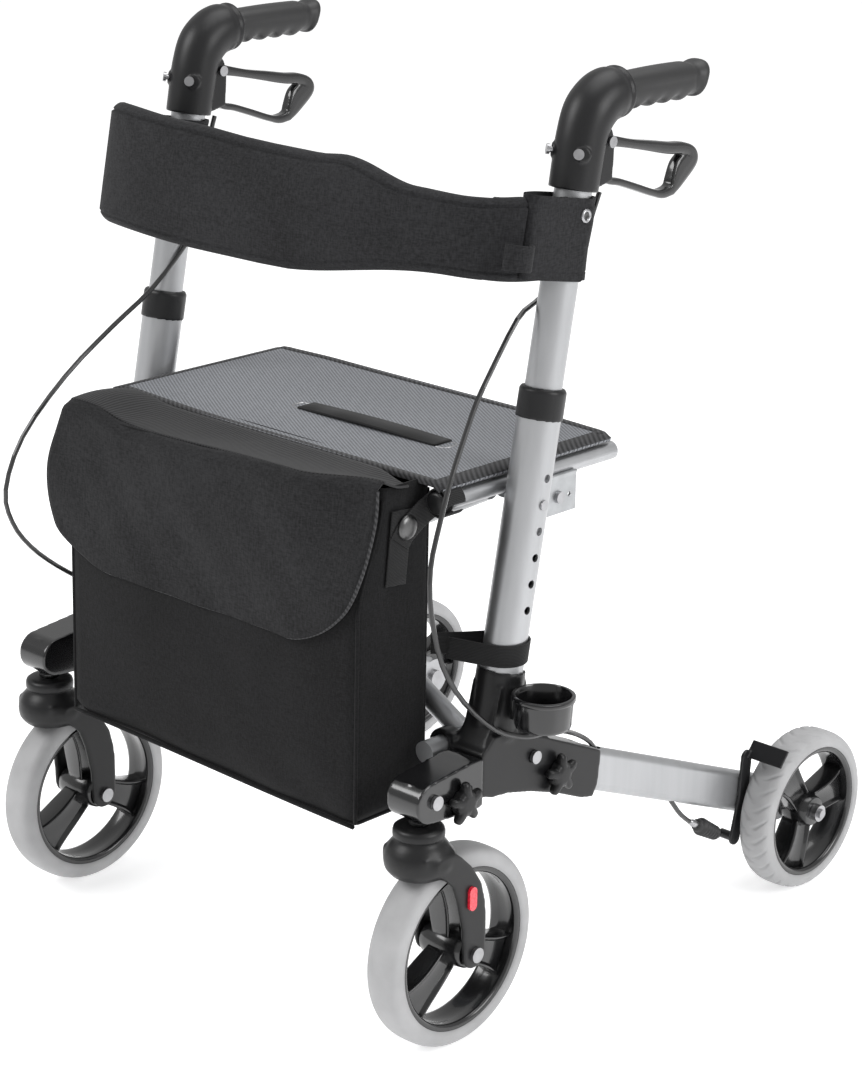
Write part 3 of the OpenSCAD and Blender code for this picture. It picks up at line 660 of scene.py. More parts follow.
def make_elbow(side, s):
    """Elbow swept from the upright to the grip, with two cheeks for the lever and its clamp bosses."""
    path = catmull([pt(s * UP_X, y, z) for y, z in ((-148.6, 811), (-144.2, 835), (-138.5, 861), (-129, 880),
                                                    (-114, 891.5), (-98, 895), (-92, 895))], 8)
    stops = [(0, 23.4), (0.3, 23.8), (0.55, 25.4), (0.75, 25.6), (0.9, 23.2), (1, 21.5)]
    bend = tube_path("bend", path, lambda f: steps_curve(f, stops) / 1000, 48, up=(1, 0, 0))
    mouth = revolve("mouth", [(20.9 + 4.0 * math.cos(a), -93 + 4.6 * math.sin(a)) for a in
                              (2 * math.pi * k / 12 for k in range(12))], pt(s * UP_X, 0, GRIP_Z), "y", 48)
    cheek = [(-141, 870), (-122, 876), (-108, 862), (-104, 850), (-106, 815), (-124, 811), (-146, 811)]
    parts = [bend, mouth]
    for x0 in (-11.5, 7.6):
        parts.append(slab_x("cheek", s, UP_X + x0, UP_X + x0 + 3.9, cheek))
    for direction in (40, 140):
        a = math.radians(direction)
        _, y, z = on_upright(490)
        at = pt(s * UP_X, y, z)
        out = Vector((s * math.cos(a), -math.sin(a) * math.cos(LEAN), math.sin(a) * math.sin(LEAN)))
        parts.append(dome("boss", at, out, [(0.2, 12), (7.6, 12), (7.4, 24.5), (6.4, 25.6), (0.2, 25.8)], 24))
    elbow = remeshed(join(side + "_elbow_shape", parts), 1.1, 4)
    finish_piece(elbow, ELBOW, side + "_handle", "black_plastic", side + "_elbow")


def make_grip(side, s):
    """Grip with finger lobes below, a waist near its end and a slanted round end."""
    rings = []
    for i in range(71):
        y = -92 + 121 * i / 70
        f = i / 70
        waist = 1 - 0.16 * smooth(f, 0.08, 0.0) - 0.10 * smooth(f, 0.80, 0.88)
        waist += 0.16 * smooth(f, 0.88, 0.95)
        close = math.sqrt(max(0.0, 1 - smooth(f, 0.955, 1.0) ** 2 * 0.75))
        lobe = 2.3 * math.sin(2 * math.pi * (f - 0.12) / 0.185) * smooth(f, 0.08, 0.16) * smooth(f, 0.88, 0.80)
        ring = []
        for k in range(40):
            a = 2 * math.pi * k / 40
            c, sn = math.cos(a), math.sin(a)
            rx, rz = 16.6, (16.8 if sn > 0 else 16.0)
            x = rx * bulged(c, 0.82)
            z = rz * bulged(sn, 0.82)
            if sn > 0.2:
                z += 1.2 * math.sin(math.pi * f)
                x *= 1 + 0.10 * math.sin(math.pi * f)
            if sn < 0:
                z += lobe * sn
            slant = 7.0 * smooth(f, 0.86, 1.0) * (z / 17)
            ring.append(pt(s * UP_X + s * x * waist * close, y + slant, GRIP_Z + z * waist * close))
        rings.append(ring)
    grip = loft(side + "_grip_shape", rings)
    finish_piece(grip, GRIP, side + "_handle", "grip_rubber", side + "_grip")


def make_lever(side, s):
    """Loop lever: a closed bar that widens into a paddle at its rear."""
    centre = [(-115, 853), (-95, 849.5), (-68, 843.5), (-40, 838), (-12, 832.5), (8, 830), (23, 824), (26, 815),
              (13, 803), (-4, 792), (-20, 788.5), (-36, 792), (-62, 801), (-86, 809), (-104, 814), (-113, 828)]
    count = len(centre)
    smooth_line = []
    for i in range(count):
        p = [Vector((0, *centre[(i + k) % count])) for k in (-1, 0, 1, 2)]
        for k in range(6):
            f = k / 6
            smooth_line.append(0.5 * (2 * p[1] + (p[2] - p[0]) * f
                                      + (2 * p[0] - 5 * p[1] + 4 * p[2] - p[3]) * f * f
                                      + (3 * p[1] - p[0] - 3 * p[2] + p[3]) * f ** 3))
    total = len(smooth_line)
    tall = [(0, 13), (0.12, 10), (0.24, 13), (0.34, 13), (0.41, 25), (0.50, 27),
            (0.60, 11), (0.68, 8), (0.85, 8), (0.93, 12), (1, 13)]
    rings = []
    for i, p in enumerate(smooth_line):
        d = (smooth_line[(i + 1) % total] - smooth_line[i - 1]).normalized()
        n = Vector((0, -d.z, d.y))
        if n.dot(Vector((0, -40, 818)) - p) < 0:
            n = -n
        h = steps_curve(i / total, tall)
        inner, outer = 0.5 * h, -0.42 * h
        if h > 14:
            inner, outer = h - 5.5, -5.5
        half = 6.6
        ring = []
        for k in range(16):
            a = 2 * math.pi * k / 16
            c, sn = math.cos(a), math.sin(a)
            x = half * bulged(c, 0.5)
            m = (inner + outer) / 2 + (inner - outer) / 2 * bulged(sn, 0.5)
            q = p + n * m
            ring.append(pt(s * (UP_X + x), q.y, q.z))
        rings.append(ring)
    lever = loft(side + "_lever_shape", rings, closed=True)
    lever = remeshed(lever, 0.9, 3)
    finish_piece(lever, GLOSS, side + "_lever", "gloss_black", side + "_lever")


def make_fork(side):
    """Fork with its round cap and a domed crown that flows into both legs."""
    copy = softened("fork_copy", side + "_fork", 1.8, 2, keep_node=True)
    x = (middle(side + "_fork").x - MID_X) * 1000
    crown = dome("crown", pt(x, -343, 203), (0, 0, 1),
                 [(0.2, -17)] + [(34.5 * math.cos(a), 21 * math.sin(a)) for a in
                                 (math.pi * (k / 16 - 0.42) for k in range(15))] + [(0.2, 21.5)], 48)
    cut = revolve("wheel_room", [(2, -21), (103, -21), (103, 21), (2, 21)],
                  pt(x, -300, 100), "x", 90)
    boolean = add(crown, "BOOLEAN", operation="DIFFERENCE", solver="EXACT")
    boolean.object = cut
    apply_modifiers(crown)
    bpy.data.objects.remove(cut)
    neck = dome("neck", pt(x, -346.3, 0), (0, 0, 1), [(0.2, 224), (23.0, 224), (23.4, 226.5), (24.6, 227.4),
                                                        (24.9, 230), (24.9, 233), (24.0, 236), (21.5, 237.7),
                                                        (0.2, 237.9)], 48)
    fork = remeshed(join(side + "_fork_shape", [copy, crown]), 1.6, 9)
    finish_piece(fork, FORK, side + "_caster", "black_plastic", side + "_fork")
    finish_piece(neck, FORK, side + "_caster", "black_plastic")
    neck.name = side + "_fork_cap"


def make_knob(node, s):
    """Star knob: a domed boss with five tapering arms."""
    at = middle(node)
    low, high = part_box(node)
    face = Vector((low[0] if s < 0 else high[0], at.y, at.z))
    boss = [(0.2, 0), (7, 0.2), (11, 1.6), (13, 4), (13.4, 11.8), (0.2, 12)]
    parts = [dome("boss", face, (-s, 0, 0), boss, 40)]
    for i in range(5):
        a = 2 * math.pi * i / 5 + 0.35
        radial = Vector((0, math.cos(a), math.sin(a)))
        across = Vector((0, -math.sin(a), math.cos(a)))
        rings = []
        for r, half, front, rear in ((8, 5.2, 0.2, 11), (14, 4.8, 0.8, 11), (18, 4.4, 1.6, 10.5),
                                     (20.6, 3.2, 3, 9.5), (21.4, 1.6, 5, 8)):
            ring = []
            for k in range(16):
                b = 2 * math.pi * k / 16
                c, sn = math.cos(b), math.sin(b)
                u = half * bulged(c, 0.7)
                w = (front + rear) / 2 + (rear - front) / 2 * bulged(sn, 0.7)
                ring.append(face + (radial * r + across * u + Vector((-s, 0, 0)) * w) / 1000)
            rings.append(ring)
        parts.append(loft("arm", rings))
    knob = remeshed(join(node + "_shape", parts), 0.8, 3)
    finish_piece(knob, KNOB, node, "knob_black", node)


def make_boot(side):
    """Ribbed rubber boot on the brake cable, with a metal ferrule at its front end."""
    node = side + "_brake_boot"
    low, high = (Vector(v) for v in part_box(node))
    start = Vector((middle(node).x, low.y + 0.009, high.z - 0.009))
    end = Vector((middle(node).x, high.y - 0.009, low.z + 0.009))
    way = end - start
    long = way.length * 1000
    profile = [(0.2, -6), (6.2, -5), (6.8, -1)]
    for i in range(6):
        w = long * (0.04 + 0.135 * i)
        big = 9.6 - 0.35 * i
        profile += [(big - 2.8, w), (big - 0.4, w + long * 0.03), (big, w + long * 0.055),
                    (big - 0.4, w + long * 0.085), (big - 2.6, w + long * 0.115)]
    profile += [(4.5, long * 0.88), (4.2, long - 2), (0.2, long - 1.8)]
    boot = dome(side + "_boot_shape", start, way, profile, 36)
    finish_piece(boot, BOOT, side + "_frame", "boot_rubber", node)
    ferrule = dome(side + "_cable_ferrule", start - way.normalized() * 0.006, -way,
                   [(0.2, -1), (3.6, -1), (3.8, 1), (3.8, 8), (3.0, 9.5), (2.6, 14), (0.2, 14.2)], 24)
    finish_piece(ferrule, STEEL, side + "_frame", "steel")


def make_cup():
    """Cane cup with a rolled rim and a slight taper, and its bracket."""
    low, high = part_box("cane_cup")
    at = pt(315, -231, 0)
    z0, z1 = low[2] * 1000, high[2] * 1000
    wall = [(26.2, z1 - 1), (26.1, z0 + 4), (0.3, z0 + 4), (0.3, z0), (23, z0), (26.5, z0 + 1.5),
            (27.6, z0 + 5), (28.6, z1 - 8), (28.8, z1 - 5.5), (30.4, z1 - 4.6), (30.9, z1 - 2.6),
            (30.2, z1 - 0.6), (28.6, z1),
            (27, z1)]
    shell = revolve("cup", wall, at, "z", 72)
    bracket = [(-243, z0 + 2), (-219, z0 + 2), (-219, z1 - 4), (-243, z1 - 4)]
    plate = slab_x("bracket", 1, UP_X + 22, UP_X + 28, bracket)
    add(plate, "BEVEL", width=0.0015, segments=3)
    cup = join("cane_cup_shape", [shell, apply_modifiers(plate)])
    add(cup, "EDGE_SPLIT", split_angle=math.radians(50))
    apply_modifiers(cup)
    finish_piece(cup, GLOSS, "left_frame", "gloss_black", "cane_cup")


def make_hard_parts():
    for side, s in SIDES:
        body = side + "_frame"
        for node, voxel, rounds, material, owner, slot in (
                ("hub", 1.7, 5, CASTING, body, "frame_casting"),
                ("caster_arm", 1.4, 3, GLOSS, body, "gloss_black"),
                ("collar", 1.2, 3, ELBOW, body, "black_plastic"),
                ("brake_arm", 0.9, 2, BLACK_METAL, side + "_brake", "black_metal"),
                ("saddle", 0.8, 2, GREY_METAL, body, "grey_metal")):
            name = side + "_" + node
            obj = softened(name + "_shape", name, voxel, rounds)
            finish_piece(obj, material, owner, slot)
        for node, material in (("lower_tube", SILVER), ("upper_tube", SILVER), ("rear_tube", SILVER),
                               ("fasteners", STEEL), ("handle_bolts", STEEL), ("caster_axle", STEEL),
                               ("reflector", RED), ("rail", SILVER)):
            repaint(side + "_" + node, material)
        make_elbow(side, s)
        make_grip(side, s)
        make_lever(side, s)
        make_fork(side)
        for which in ("front", "rear"):
            make_knob(side + "_" + which + "_knob", s)
        make_boot(side)
        cap = dome(side + "_rail_cap", pt(s * 228, -291, 530), (0, 1, 0),
                   [(0.2, -1.5), (8.5, -1.5), (10.6, 0), (10.8, 3), (10.8, 13), (9.2, 13.2)], 32)
        finish_piece(cap, KNOB, "brace_b" if s > 0 else "brace_a", "black_plastic")
    make_cup()
    for node in ("brace_a", "brace_b"):
        repaint(node, SILVER)
    repaint("brace_pivot", STEEL)


# ---------------------------------------------------------------- soft goods

def smooth(x, low, high):
    """Share from 0 to 1 as x goes from low to high, with soft ends."""
    t = min(1.0, max(0.0, (x - low) / (high - low)))
    return t * t * (3 - 2 * t)


def steps_curve(x, stops):
    """Smooth steps through (place, value) stops."""
    if x <= stops[0][0]:
        return stops[0][1]
    for (a, u), (b, v) in zip(stops, stops[1:]):
        if x <= b:
            return u + (v - u) * smooth(x, a, b)
    return stops[-1][1]


def puff(obj, pinned, pressure, cap, frames=16):
    """Cloth simulation that swells a sewn shell between its pinned seams, each point at most cap metres."""
    rest = [v.co.copy() for v in obj.data.vertices]
    group = obj.vertex_groups.new(name="seams")
    group.add(pinned, 1.0, "REPLACE")
    cloth_mod = obj.modifiers.new("cloth", "CLOTH")
    settings = cloth_mod.settings
    settings.quality = 6
    settings.mass = 0.3
    settings.tension_stiffness = 12
    settings.compression_stiffness = 8
    settings.bending_stiffness = 0.6
    settings.use_pressure = True
    settings.uniform_pressure_force = pressure
    settings.vertex_group_mass = "seams"
    settings.effector_weights.gravity = 0.0
    cloth_mod.collision_settings.use_collision = False
    scene = bpy.context.scene
    for number in range(1, frames + 1):
        scene.frame_set(number)
    apply_modifiers(obj)
    for v, old in zip(obj.data.vertices, rest):
        move = v.co - old
        if move.length > cap:
            v.co = old + move * (cap / move.length)
    obj.vertex_groups.clear()
    scene.frame_set(1)
    return obj


def grid_shell(name, front, back):
    """Closed shell from two equal grids of points, joined along their borders."""
    rows, cols = len(front), len(front[0])
    verts = [p for row in front for p in row] + [p for row in back for p in row]
    size = rows * cols
    faces = []
    for i in range(rows - 1):
        for j in range(cols - 1):
            a, b, c, d = i * cols + j, i * cols + j + 1, (i + 1) * cols + j + 1, (i + 1) * cols + j
            faces += [(a, b, c, d), (size + d, size + c, size + b, size + a)]
    border = ([(0, j) for j in range(cols)] + [(i, cols - 1) for i in range(1, rows)]
              + [(rows - 1, j) for j in range(cols - 2, -1, -1)] + [(i, 0) for i in range(rows - 2, 0, -1)])
    ids = [i * cols + j for i, j in border]
    for a, b in zip(ids, ids[1:] + ids[:1]):
        faces.append((b, a, size + a, size + b))
    return mesh_object(name, verts, faces)


def sheet_shell(name, surface, us, vs, thick):
    """Sheet of even thickness over surface(u, v), which gives a point in metres."""
    front = [[surface(u, v) for u in us] for v in vs]
    rows, cols = len(front), len(front[0])
    back = []
    for i in range(rows):
        line = []
        for j in range(cols):
            du = front[i][min(j + 1, cols - 1)] - front[i][max(j - 1, 0)]
            dv = front[min(i + 1, rows - 1)][j] - front[max(i - 1, 0)][j]
            line.append(front[i][j] - du.cross(dv).normalized() * thick)
        back.append(line)
    return grid_shell(name, front, back)


# Backrest: a padded strap that bows forward between the handle tubes, wide in the middle and narrow
# beside the left sleeve. Its own frame has v forward across the tubes and w along them.
BACK_T = (769 - 362) / math.cos(LEAN)
BACK_HALF = 280
BACK_DEPTH = 143


def back_point(x, v, w):
    _, y, z = on_upright(BACK_T + w, back=-v)
    return pt(x, y, z)


def back_outline(a):
    """Outer face at angle a from the left sleeve (0) to the right sleeve (pi)."""
    c, s = math.cos(a), math.sin(a)
    x = BACK_HALF * math.copysign(abs(c) ** 0.5, c)
    if x < 0:
        x -= 6 * smooth(-x, 150, 270) * smooth(s, 0.0, 0.4)
    return x, BACK_DEPTH * abs(s) ** 0.5


def back_top(x, v):
    if v < 104:
        low = [(0, 37), (75, 33), (104, 30)] if x > 0 else [(0, 37), (30, 36), (104, 48)]
        return steps_curve(v, low)
    return steps_curve(x, [(-285, 48), (-240, 49), (-120, 45), (-10, 41), (60, 41), (95, 44),
                           (185, 28), (230, 27), (280, 30)])


def back_bottom(x, v):
    if v < 104:
        return steps_curve(v, [(0, -40), (104, -46)] if x > 0 else [(0, -40), (30, -42), (104, -70)])
    return steps_curve(x, [(-285, -70), (-240, -72), (-100, -75), (10, -74), (230, -47), (280, -46)])


def make_backrest():
    cols = 250
    start, stop = 0.018, math.pi - 0.018
    hems = (0, 0.7, 2.0, 4.2, 6.6, 8.4, 10.2, 13, 17, 22, 28)
    middle_rows = 13
    outer, inner = [], []
    for i in range(cols + 1):
        a = start + (stop - start) * (0.5 - 0.5 * math.cos(math.pi * i / cols))
        x, v = back_outline(a)
        x1, v1 = back_outline(a - 0.004)
        x2, v2 = back_outline(a + 0.004)
        tx, tv = x2 - x1, v2 - v1
        n = math.hypot(tx, tv)
        ox, ov = tv / n, -tx / n
        low, high = back_bottom(x, v), back_top(x, v)
        half = 9 + 3.5 * smooth(v, 60, 130)
        ws = [low + h for h in hems]
        ws += [low + 28 + (high - low - 56) * k / (middle_rows + 1) for k in range(1, middle_rows + 1)]
        ws += [high - h for h in reversed(hems)]
        faces_in_out = ([], [])
        for w in ws:
            edge = min(w - low, high - w)
            swell = half * min(1.0, (edge / 9.0)) ** 0.42 if edge > 0 else 0.0
            if 7.4 < edge < 9.4:
                swell -= 2.2
            if x > 0 and abs(v - 73) < 1.7:
                swell -= 1.3
            for line, sign in zip(faces_in_out, (1, -1)):
                d = -half + sign * max(swell, 0.4)
                line.append(back_point(x + ox * d, v + ov * d, w))
        outer.append(faces_in_out[0])
        inner.append(faces_in_out[1])
    band = grid_shell("backrest_pad", outer, inner)
    band_rows = len(outer[0])
    seam_rows = {0, 1, 2, 5, band_rows - 6, band_rows - 3, band_rows - 2, band_rows - 1}
    held = set()
    for i, row in enumerate(outer):
        for j, p in enumerate(row):
            if j in seam_rows or i < 4 or i > cols - 4:
                held.add(tuple(round(c, 6) for c in p))
                held.add(tuple(round(c, 6) for c in inner[i][j]))
    pins = [v.index for v in band.data.vertices if tuple(round(c, 6) for c in v.co) in held]
    puff(band, pins, 3.0, 0.004)
    finish_piece(band, BACK, "left_handle", "back_fabric", "backrest")
    tuple(back_point(UP_X, 0, 0))
    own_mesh(band)
    for side, s in SIDES:
        back = [(UP_X + 21.3 * math.cos(b), 24 * math.sin(b)) for b in
                (-math.pi * k / 16 for k in range(17))]
        front = [(UP_X - 20.6, 14), (UP_X - 17, 34), (UP_X - 9, 54), (UP_X - 0.5, 69), (UP_X + 8, 73.5),
                 (UP_X + 16.5, 73.5), (UP_X + 19.6, 70), (UP_X + 20.4, 54), (UP_X + 21, 34), (UP_X + 21.3, 14)]
        around = catmull([Vector((x, v, 0)) for x, v in back + front + back[:1]], 3)
        loop_path = [(s * p.x, p.y) for p in around]
        rows = [-40.5, -40, -38, -33.5, -32.5, -31.5, -26, -12, 0, 12, 22, 28, 29, 30, 34, 36.3, 36.8]
        rings = []
        for shift in (0.0, -2.2):
            order = rows if shift == 0 else rows[::-1]
            for w in order:
                pull = 0.7 if abs(abs(w + 1.5) - 31) < 0.8 else 0.0
                flare = 1.2 * math.sin(w / 9.0)
                ring = []
                for x, v in loop_path[:-1]:
                    r = math.hypot(x - s * UP_X, v)
                    k = (r + shift * (1 if v < 30 else 0.35) - pull + (flare if v < -6 else 0) * 0.5) / r
                    ring.append(back_point(s * UP_X + (x - s * UP_X) * k, v * k, w + (1.5 if v < -6 else 0)))
                rings.append(ring)
        sleeve = loft(side + "_backrest_sleeve", rings, closed=True)
        finish_piece(sleeve, BACK, side + "_handle", "back_fabric")
    make_backrest_details()


def make_backrest_details():
    """Fabric loop and ringed snap beside the left sleeve."""
    path = [back_point(280.5 + 15 * math.sin(math.pi * k / 12) ** 0.55 - 0.6, 106 - 34 * k / 12, -20)
            for k in range(13)]
    up = back_point(278, 90, 1) - back_point(278, 90, 0)
    loop = strip_path("pen_loop", path, up, 0.024, 0.0016)
    finish_piece(loop, BACK, "left_handle", "back_fabric")
    at = back_point(282.8, 2, 21)
    ring = dome("snap_ring", at, (1, 0, 0), [(3.6, -1), (6.6, -1), (6.8, 0.4), (6.0, 1.5), (4.8, 1.8),
                                            (3.9, 1.3), (3.6, -0.6)])
    finish_piece(ring, STEEL, "left_handle", "steel")
    cap = dome("snap_socket", at, (1, 0, 0), [(0.2, -1), (3.8, -1), (3.8, 0.7), (3.0, 0.9), (1.5, 0.5),
                                             (0.2, 0.4)])
    finish_piece(cap, GLOSS, "left_handle", "gloss_black")


# Bag: a soft open box with rounded upright corners, a sewn ridge at each front corner and a flat base
BAG_FRONT = -368
BAG_REAR = -268
BAG_HALF = 205
BAG_TOP = 543


def corner_draw(z):
    """How far the bag's front left corner is drawn back at height z."""
    return 31 * smooth(z, 425, 535)


def bag_ring(z, count=168):
    """Outline of the bag at height z, in design millimetres, counter-clockwise from the left rear corner."""
    base = 224 - 5
    low = smooth(z, base, base + 16)
    lift = smooth(z, 250, 500)
    half_x = BAG_HALF - 9 * (1 - low) ** 1.5 - 1.5
    y0 = BAG_FRONT + 7 * (1 - low) ** 1.5
    y1 = BAG_REAR - 13 * (1 - smooth(z, base, base + 60)) ** 1.3 - 2 * lift
    cy, half_y = (y0 + y1) / 2, (y1 - y0) / 2
    corner = 9
    out = []
    for k in range(count):
        a = 2 * math.pi * k / count + math.pi / 4
        c, s = math.cos(a), math.sin(a)
        reach = 1 / max(abs(c), abs(s))
        x, y = half_x * reach * c, half_y * reach * s
        over_x, over_y = abs(x) - (half_x - corner), abs(y) - (half_y - corner)
        if over_x > 0 and over_y > 0:
            far = math.hypot(over_x, over_y)
            x = math.copysign(half_x - corner + over_x * corner / far, x)
            y = math.copysign(half_y - corner + over_y * corner / far, y)
        y += cy
        if y < cy:
            y += corner_draw(z) * smooth(x, 100, 206) * smooth(cy - y, 0, half_y)
        sway = 1.6 * math.sin(x / 47.0 + z / 61.0) + 1.1 * math.sin(x / 23.0 - z / 37.0)
        if y < cy - half_y * 0.9:
            y += sway * smooth(half_x - abs(x), 0, 60)
        out.append((x, y))
    return out


def make_bag():
    heights = [221.5, 219.8, 219.5, 220.5, 223, 227, 232, 238, 244]
    heights += [252 + 8 * k for k in range(36)] + [BAG_TOP]
    inset = (60, 30, 12, 4, 1.2)
    rings = []
    for share in inset:
        rings.append([(x * (1 - share / 230), y + (-318 - y) * share / 110) for x, y in bag_ring(heights[0])])
    zs = [heights[0] + 2.5 - 0.5 * i for i in range(len(inset))]
    rings += [bag_ring(z) for z in heights]
    zs += heights
    tilt = lambda x, z: -6.0 * smooth(x, -205, 205) * (1 - smooth(z, 222, 330))
    points = [[pt(x, y, z + 5 + tilt(x, z)) for x, y in ring] for ring, z in zip(rings, zs)]
    bag = loft("bag_shell", points)
    held = set()
    for i, ring in enumerate(points):
        z = zs[i]
        for k, p in enumerate(ring):
            x, y = rings[i][k]
            corner = abs(x) > BAG_HALF - 9 and (y < BAG_FRONT + 9 or y > BAG_REAR - 9)
            if z > BAG_TOP - 30 or z < 226 or corner or i < len(inset) + 4:
                held.add(tuple(round(c, 6) for c in p))
    pins = [v.index for v in bag.data.vertices if tuple(round(c, 6) for c in v.co) in held]
    puff(bag, pins, 1.2, 0.007)
    bm = bmesh.new()
    bm.from_mesh(bag.data)
    bmesh.ops.delete(bm, geom=[max(bm.faces, key=lambda f: f.calc_center_median().z)], context="FACES_ONLY")
    bm.to_mesh(bag.data)
    bm.free()
    add(bag, "SOLIDIFY", thickness=0.0022, offset=-1.0)
    apply_modifiers(bag)
    finish_piece(bag, BAG, "left_frame", "bag_fabric", "bag")
    fold_bag(bag)
    trims = []
    for s in (1, -1):
        for y, tall in ((BAG_FRONT + 3.0, (228, 536)), (BAG_REAR - 5, (262, 536))):
            path = []
            for k in range(25):
                z = tall[0] + (tall[1] - tall[0]) * k / 24
                back = corner_draw(z) if s > 0 and y < -330 else 0
                path.append(pt(s * (BAG_HALF - 4.0), y + back, z - (5.0 if s > 0 and k == 0 else 0)))
            trims.append(tube_path("piping", path, 0.0019, 8))
    base_path = [pt(x, BAG_FRONT + 1.5, 220 + 6 * (1 - smooth(x, -205, 205))) for x in range(-200, 201, 16)]
    trims.append(tube_path("piping", base_path, 0.0022, 8, up=(0, 1, 0)))
    piping = finish_piece(join("bag_piping", trims), BAG, "left_frame", "bag_fabric")
    fold_bag(piping)


def fold_bag(obj):
    """Gives the bag piece a mesh of its own."""
    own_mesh(obj)


# Flap: a ribbed top strip and a front panel with round lower corners, bound with ribbed tape
FLAP_LOW = 392


def flap_edge(s, z):
    """Half width of the front panel on side s at height z."""
    bow = math.sin(math.pi * min(1.0, max(0.0, (z - 400) / 150)))
    full = (205 + 22 * bow) if s < 0 else (203 + 7 * math.sin(math.pi * min(1, max(0, (z - 400) / 170))))
    deep, wide = (34, 90) if s < 0 else (92, 92)
    if z < FLAP_LOW + deep:
        t = (z - FLAP_LOW) / deep
        full -= wide * (1 - math.sqrt(max(0.0, 1 - (1 - t) ** 2)))
    return s * full


def flap_fold(x):
    """Front fold of the flap: its y and z at x."""
    y = BAG_FRONT - 5 + 27 * smooth(x, 110, 206) + 4 * smooth(-x, 120, 205)
    z = 549 + 5 * smooth(x, 120, 206) + 3 * math.sin(x / 70.0) + 9 * math.exp(-((x + 175) / 45) ** 2)
    return y, z


def flap_front(x, z):
    """Front panel: y at x and z."""
    y_fold, z_fold = flap_fold(x)
    drop = smooth(z, 440, z_fold - 6)
    crown = 9 * smooth(z, z_fold - 9, z_fold) ** 2
    wave = 2.2 * math.sin(x / 38.0 + z / 30.0) + 1.6 * math.sin(x / 21.0 - z / 26.0 + 1.0)
    wave += 1.0 * math.sin(x / 11.0 + z / 13.0)
    bulge = -5.0 * math.exp(-((x + 60) / 90) ** 2 - ((z - 490) / 45) ** 2)
    return (BAG_FRONT - 7.0) * (1 - drop) + y_fold * drop + crown + 0.55 * wave + bulge


def flap_top(x, t):
    """Top strip: t from 0 at the front fold to 1 at its rear edge, under the seat's front edge."""
    y_fold, z_fold = flap_fold(x)
    y_fold += 9
    ends = smooth(abs(x), 150, 206)
    y_rear = -292 - 12 * ends * (1 if x > 0 else 0.4)
    z_rear = 547.5 - 3.5 * ends + (10 * math.exp(-((x + 190) / 34) ** 2))
    y = y_fold + (y_rear - y_fold) * t
    z = z_fold + (z_rear - z_fold) * t
    z += 7 * math.exp(-((x + 180) / 45) ** 2) * math.sin(math.pi * t) - 2.5 * math.sin(math.pi * t)
    return y, z + 0.5 * math.sin(x / 17.0) * math.sin(math.pi * t)


def make_flap():
    across = [-1 + 2 * k / 80 for k in range(81)]

    def front(u, v):
        top_z = 1 - v
        z0 = FLAP_LOW + 0.5
        right, left = flap_edge(-1, z0 + 158 * top_z), flap_edge(1, z0 + 158 * top_z)
        x = (right + left) / 2 + (left - right) / 2 * u
        z = z0 + (flap_fold(x)[1] - z0) * top_z
        return pt(x, flap_front(x, z), z)

    downs = [k / 60 for k in range(54)] + [0.9 + 0.1 * math.sin(math.pi / 2 * k / 14) for k in range(1, 15)]
    panel = sheet_shell("flap_front", front, across, downs, 0.0022)
    finish_flap(panel, FLAP)

    def top(u, v):
        x = 206 * u
        y, z = flap_top(x, v)
        return pt(x, y, z)

    strip = sheet_shell("flap_top", top, across, [k / 18 for k in range(19)], -0.002)
    finish_flap(strip, GUSSET, "bag_flap")

    outline = []
    for k in range(46):
        z = FLAP_LOW + 156 * (1 - k / 45) ** 1.35 + 0.6
        outline.append((flap_edge(-1, z), z))
    low_a, low_b = outline[-1][0], flap_edge(1, FLAP_LOW + 0.6)
    outline += [(low_a + (low_b - low_a) * k / 24, FLAP_LOW + 0.6) for k in range(1, 24)]
    for k in range(46):
        z = FLAP_LOW + 156 * (k / 45) ** 1.35 + 0.6
        outline.append((flap_edge(1, z), z))
    rings = []
    for i, (x, z) in enumerate(outline):
        x0, z0 = outline[max(i - 1, 0)]
        x1, z1 = outline[min(i + 1, len(outline) - 1)]
        n = math.hypot(x1 - x0, z1 - z0) or 1
        nx, nz = -(z1 - z0) / n, (x1 - x0) / n
        ring = []
        for inward, lift in ((9.5, 0.4), (9.0, 1.5), (5, 1.9), (1.2, 1.9), (-0.9, 0.9), (-0.9, -2.4),
                             (1.2, -3.4), (5, -3.4), (9.0, -3.0), (9.5, -1.2)):
            px, pz = x + nx * inward, z + nz * inward
            ring.append(pt(px, flap_front(px, pz) - lift, pz))
        rings.append(ring)
    tape = loft("flap_binding", rings)
    finish_flap(tape, BINDING)


def finish_flap(obj, material, *nodes):
    finish_piece(obj, material, "bag_flap", "bag_fabric", *nodes)
    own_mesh(obj)


BELT_Z = 380


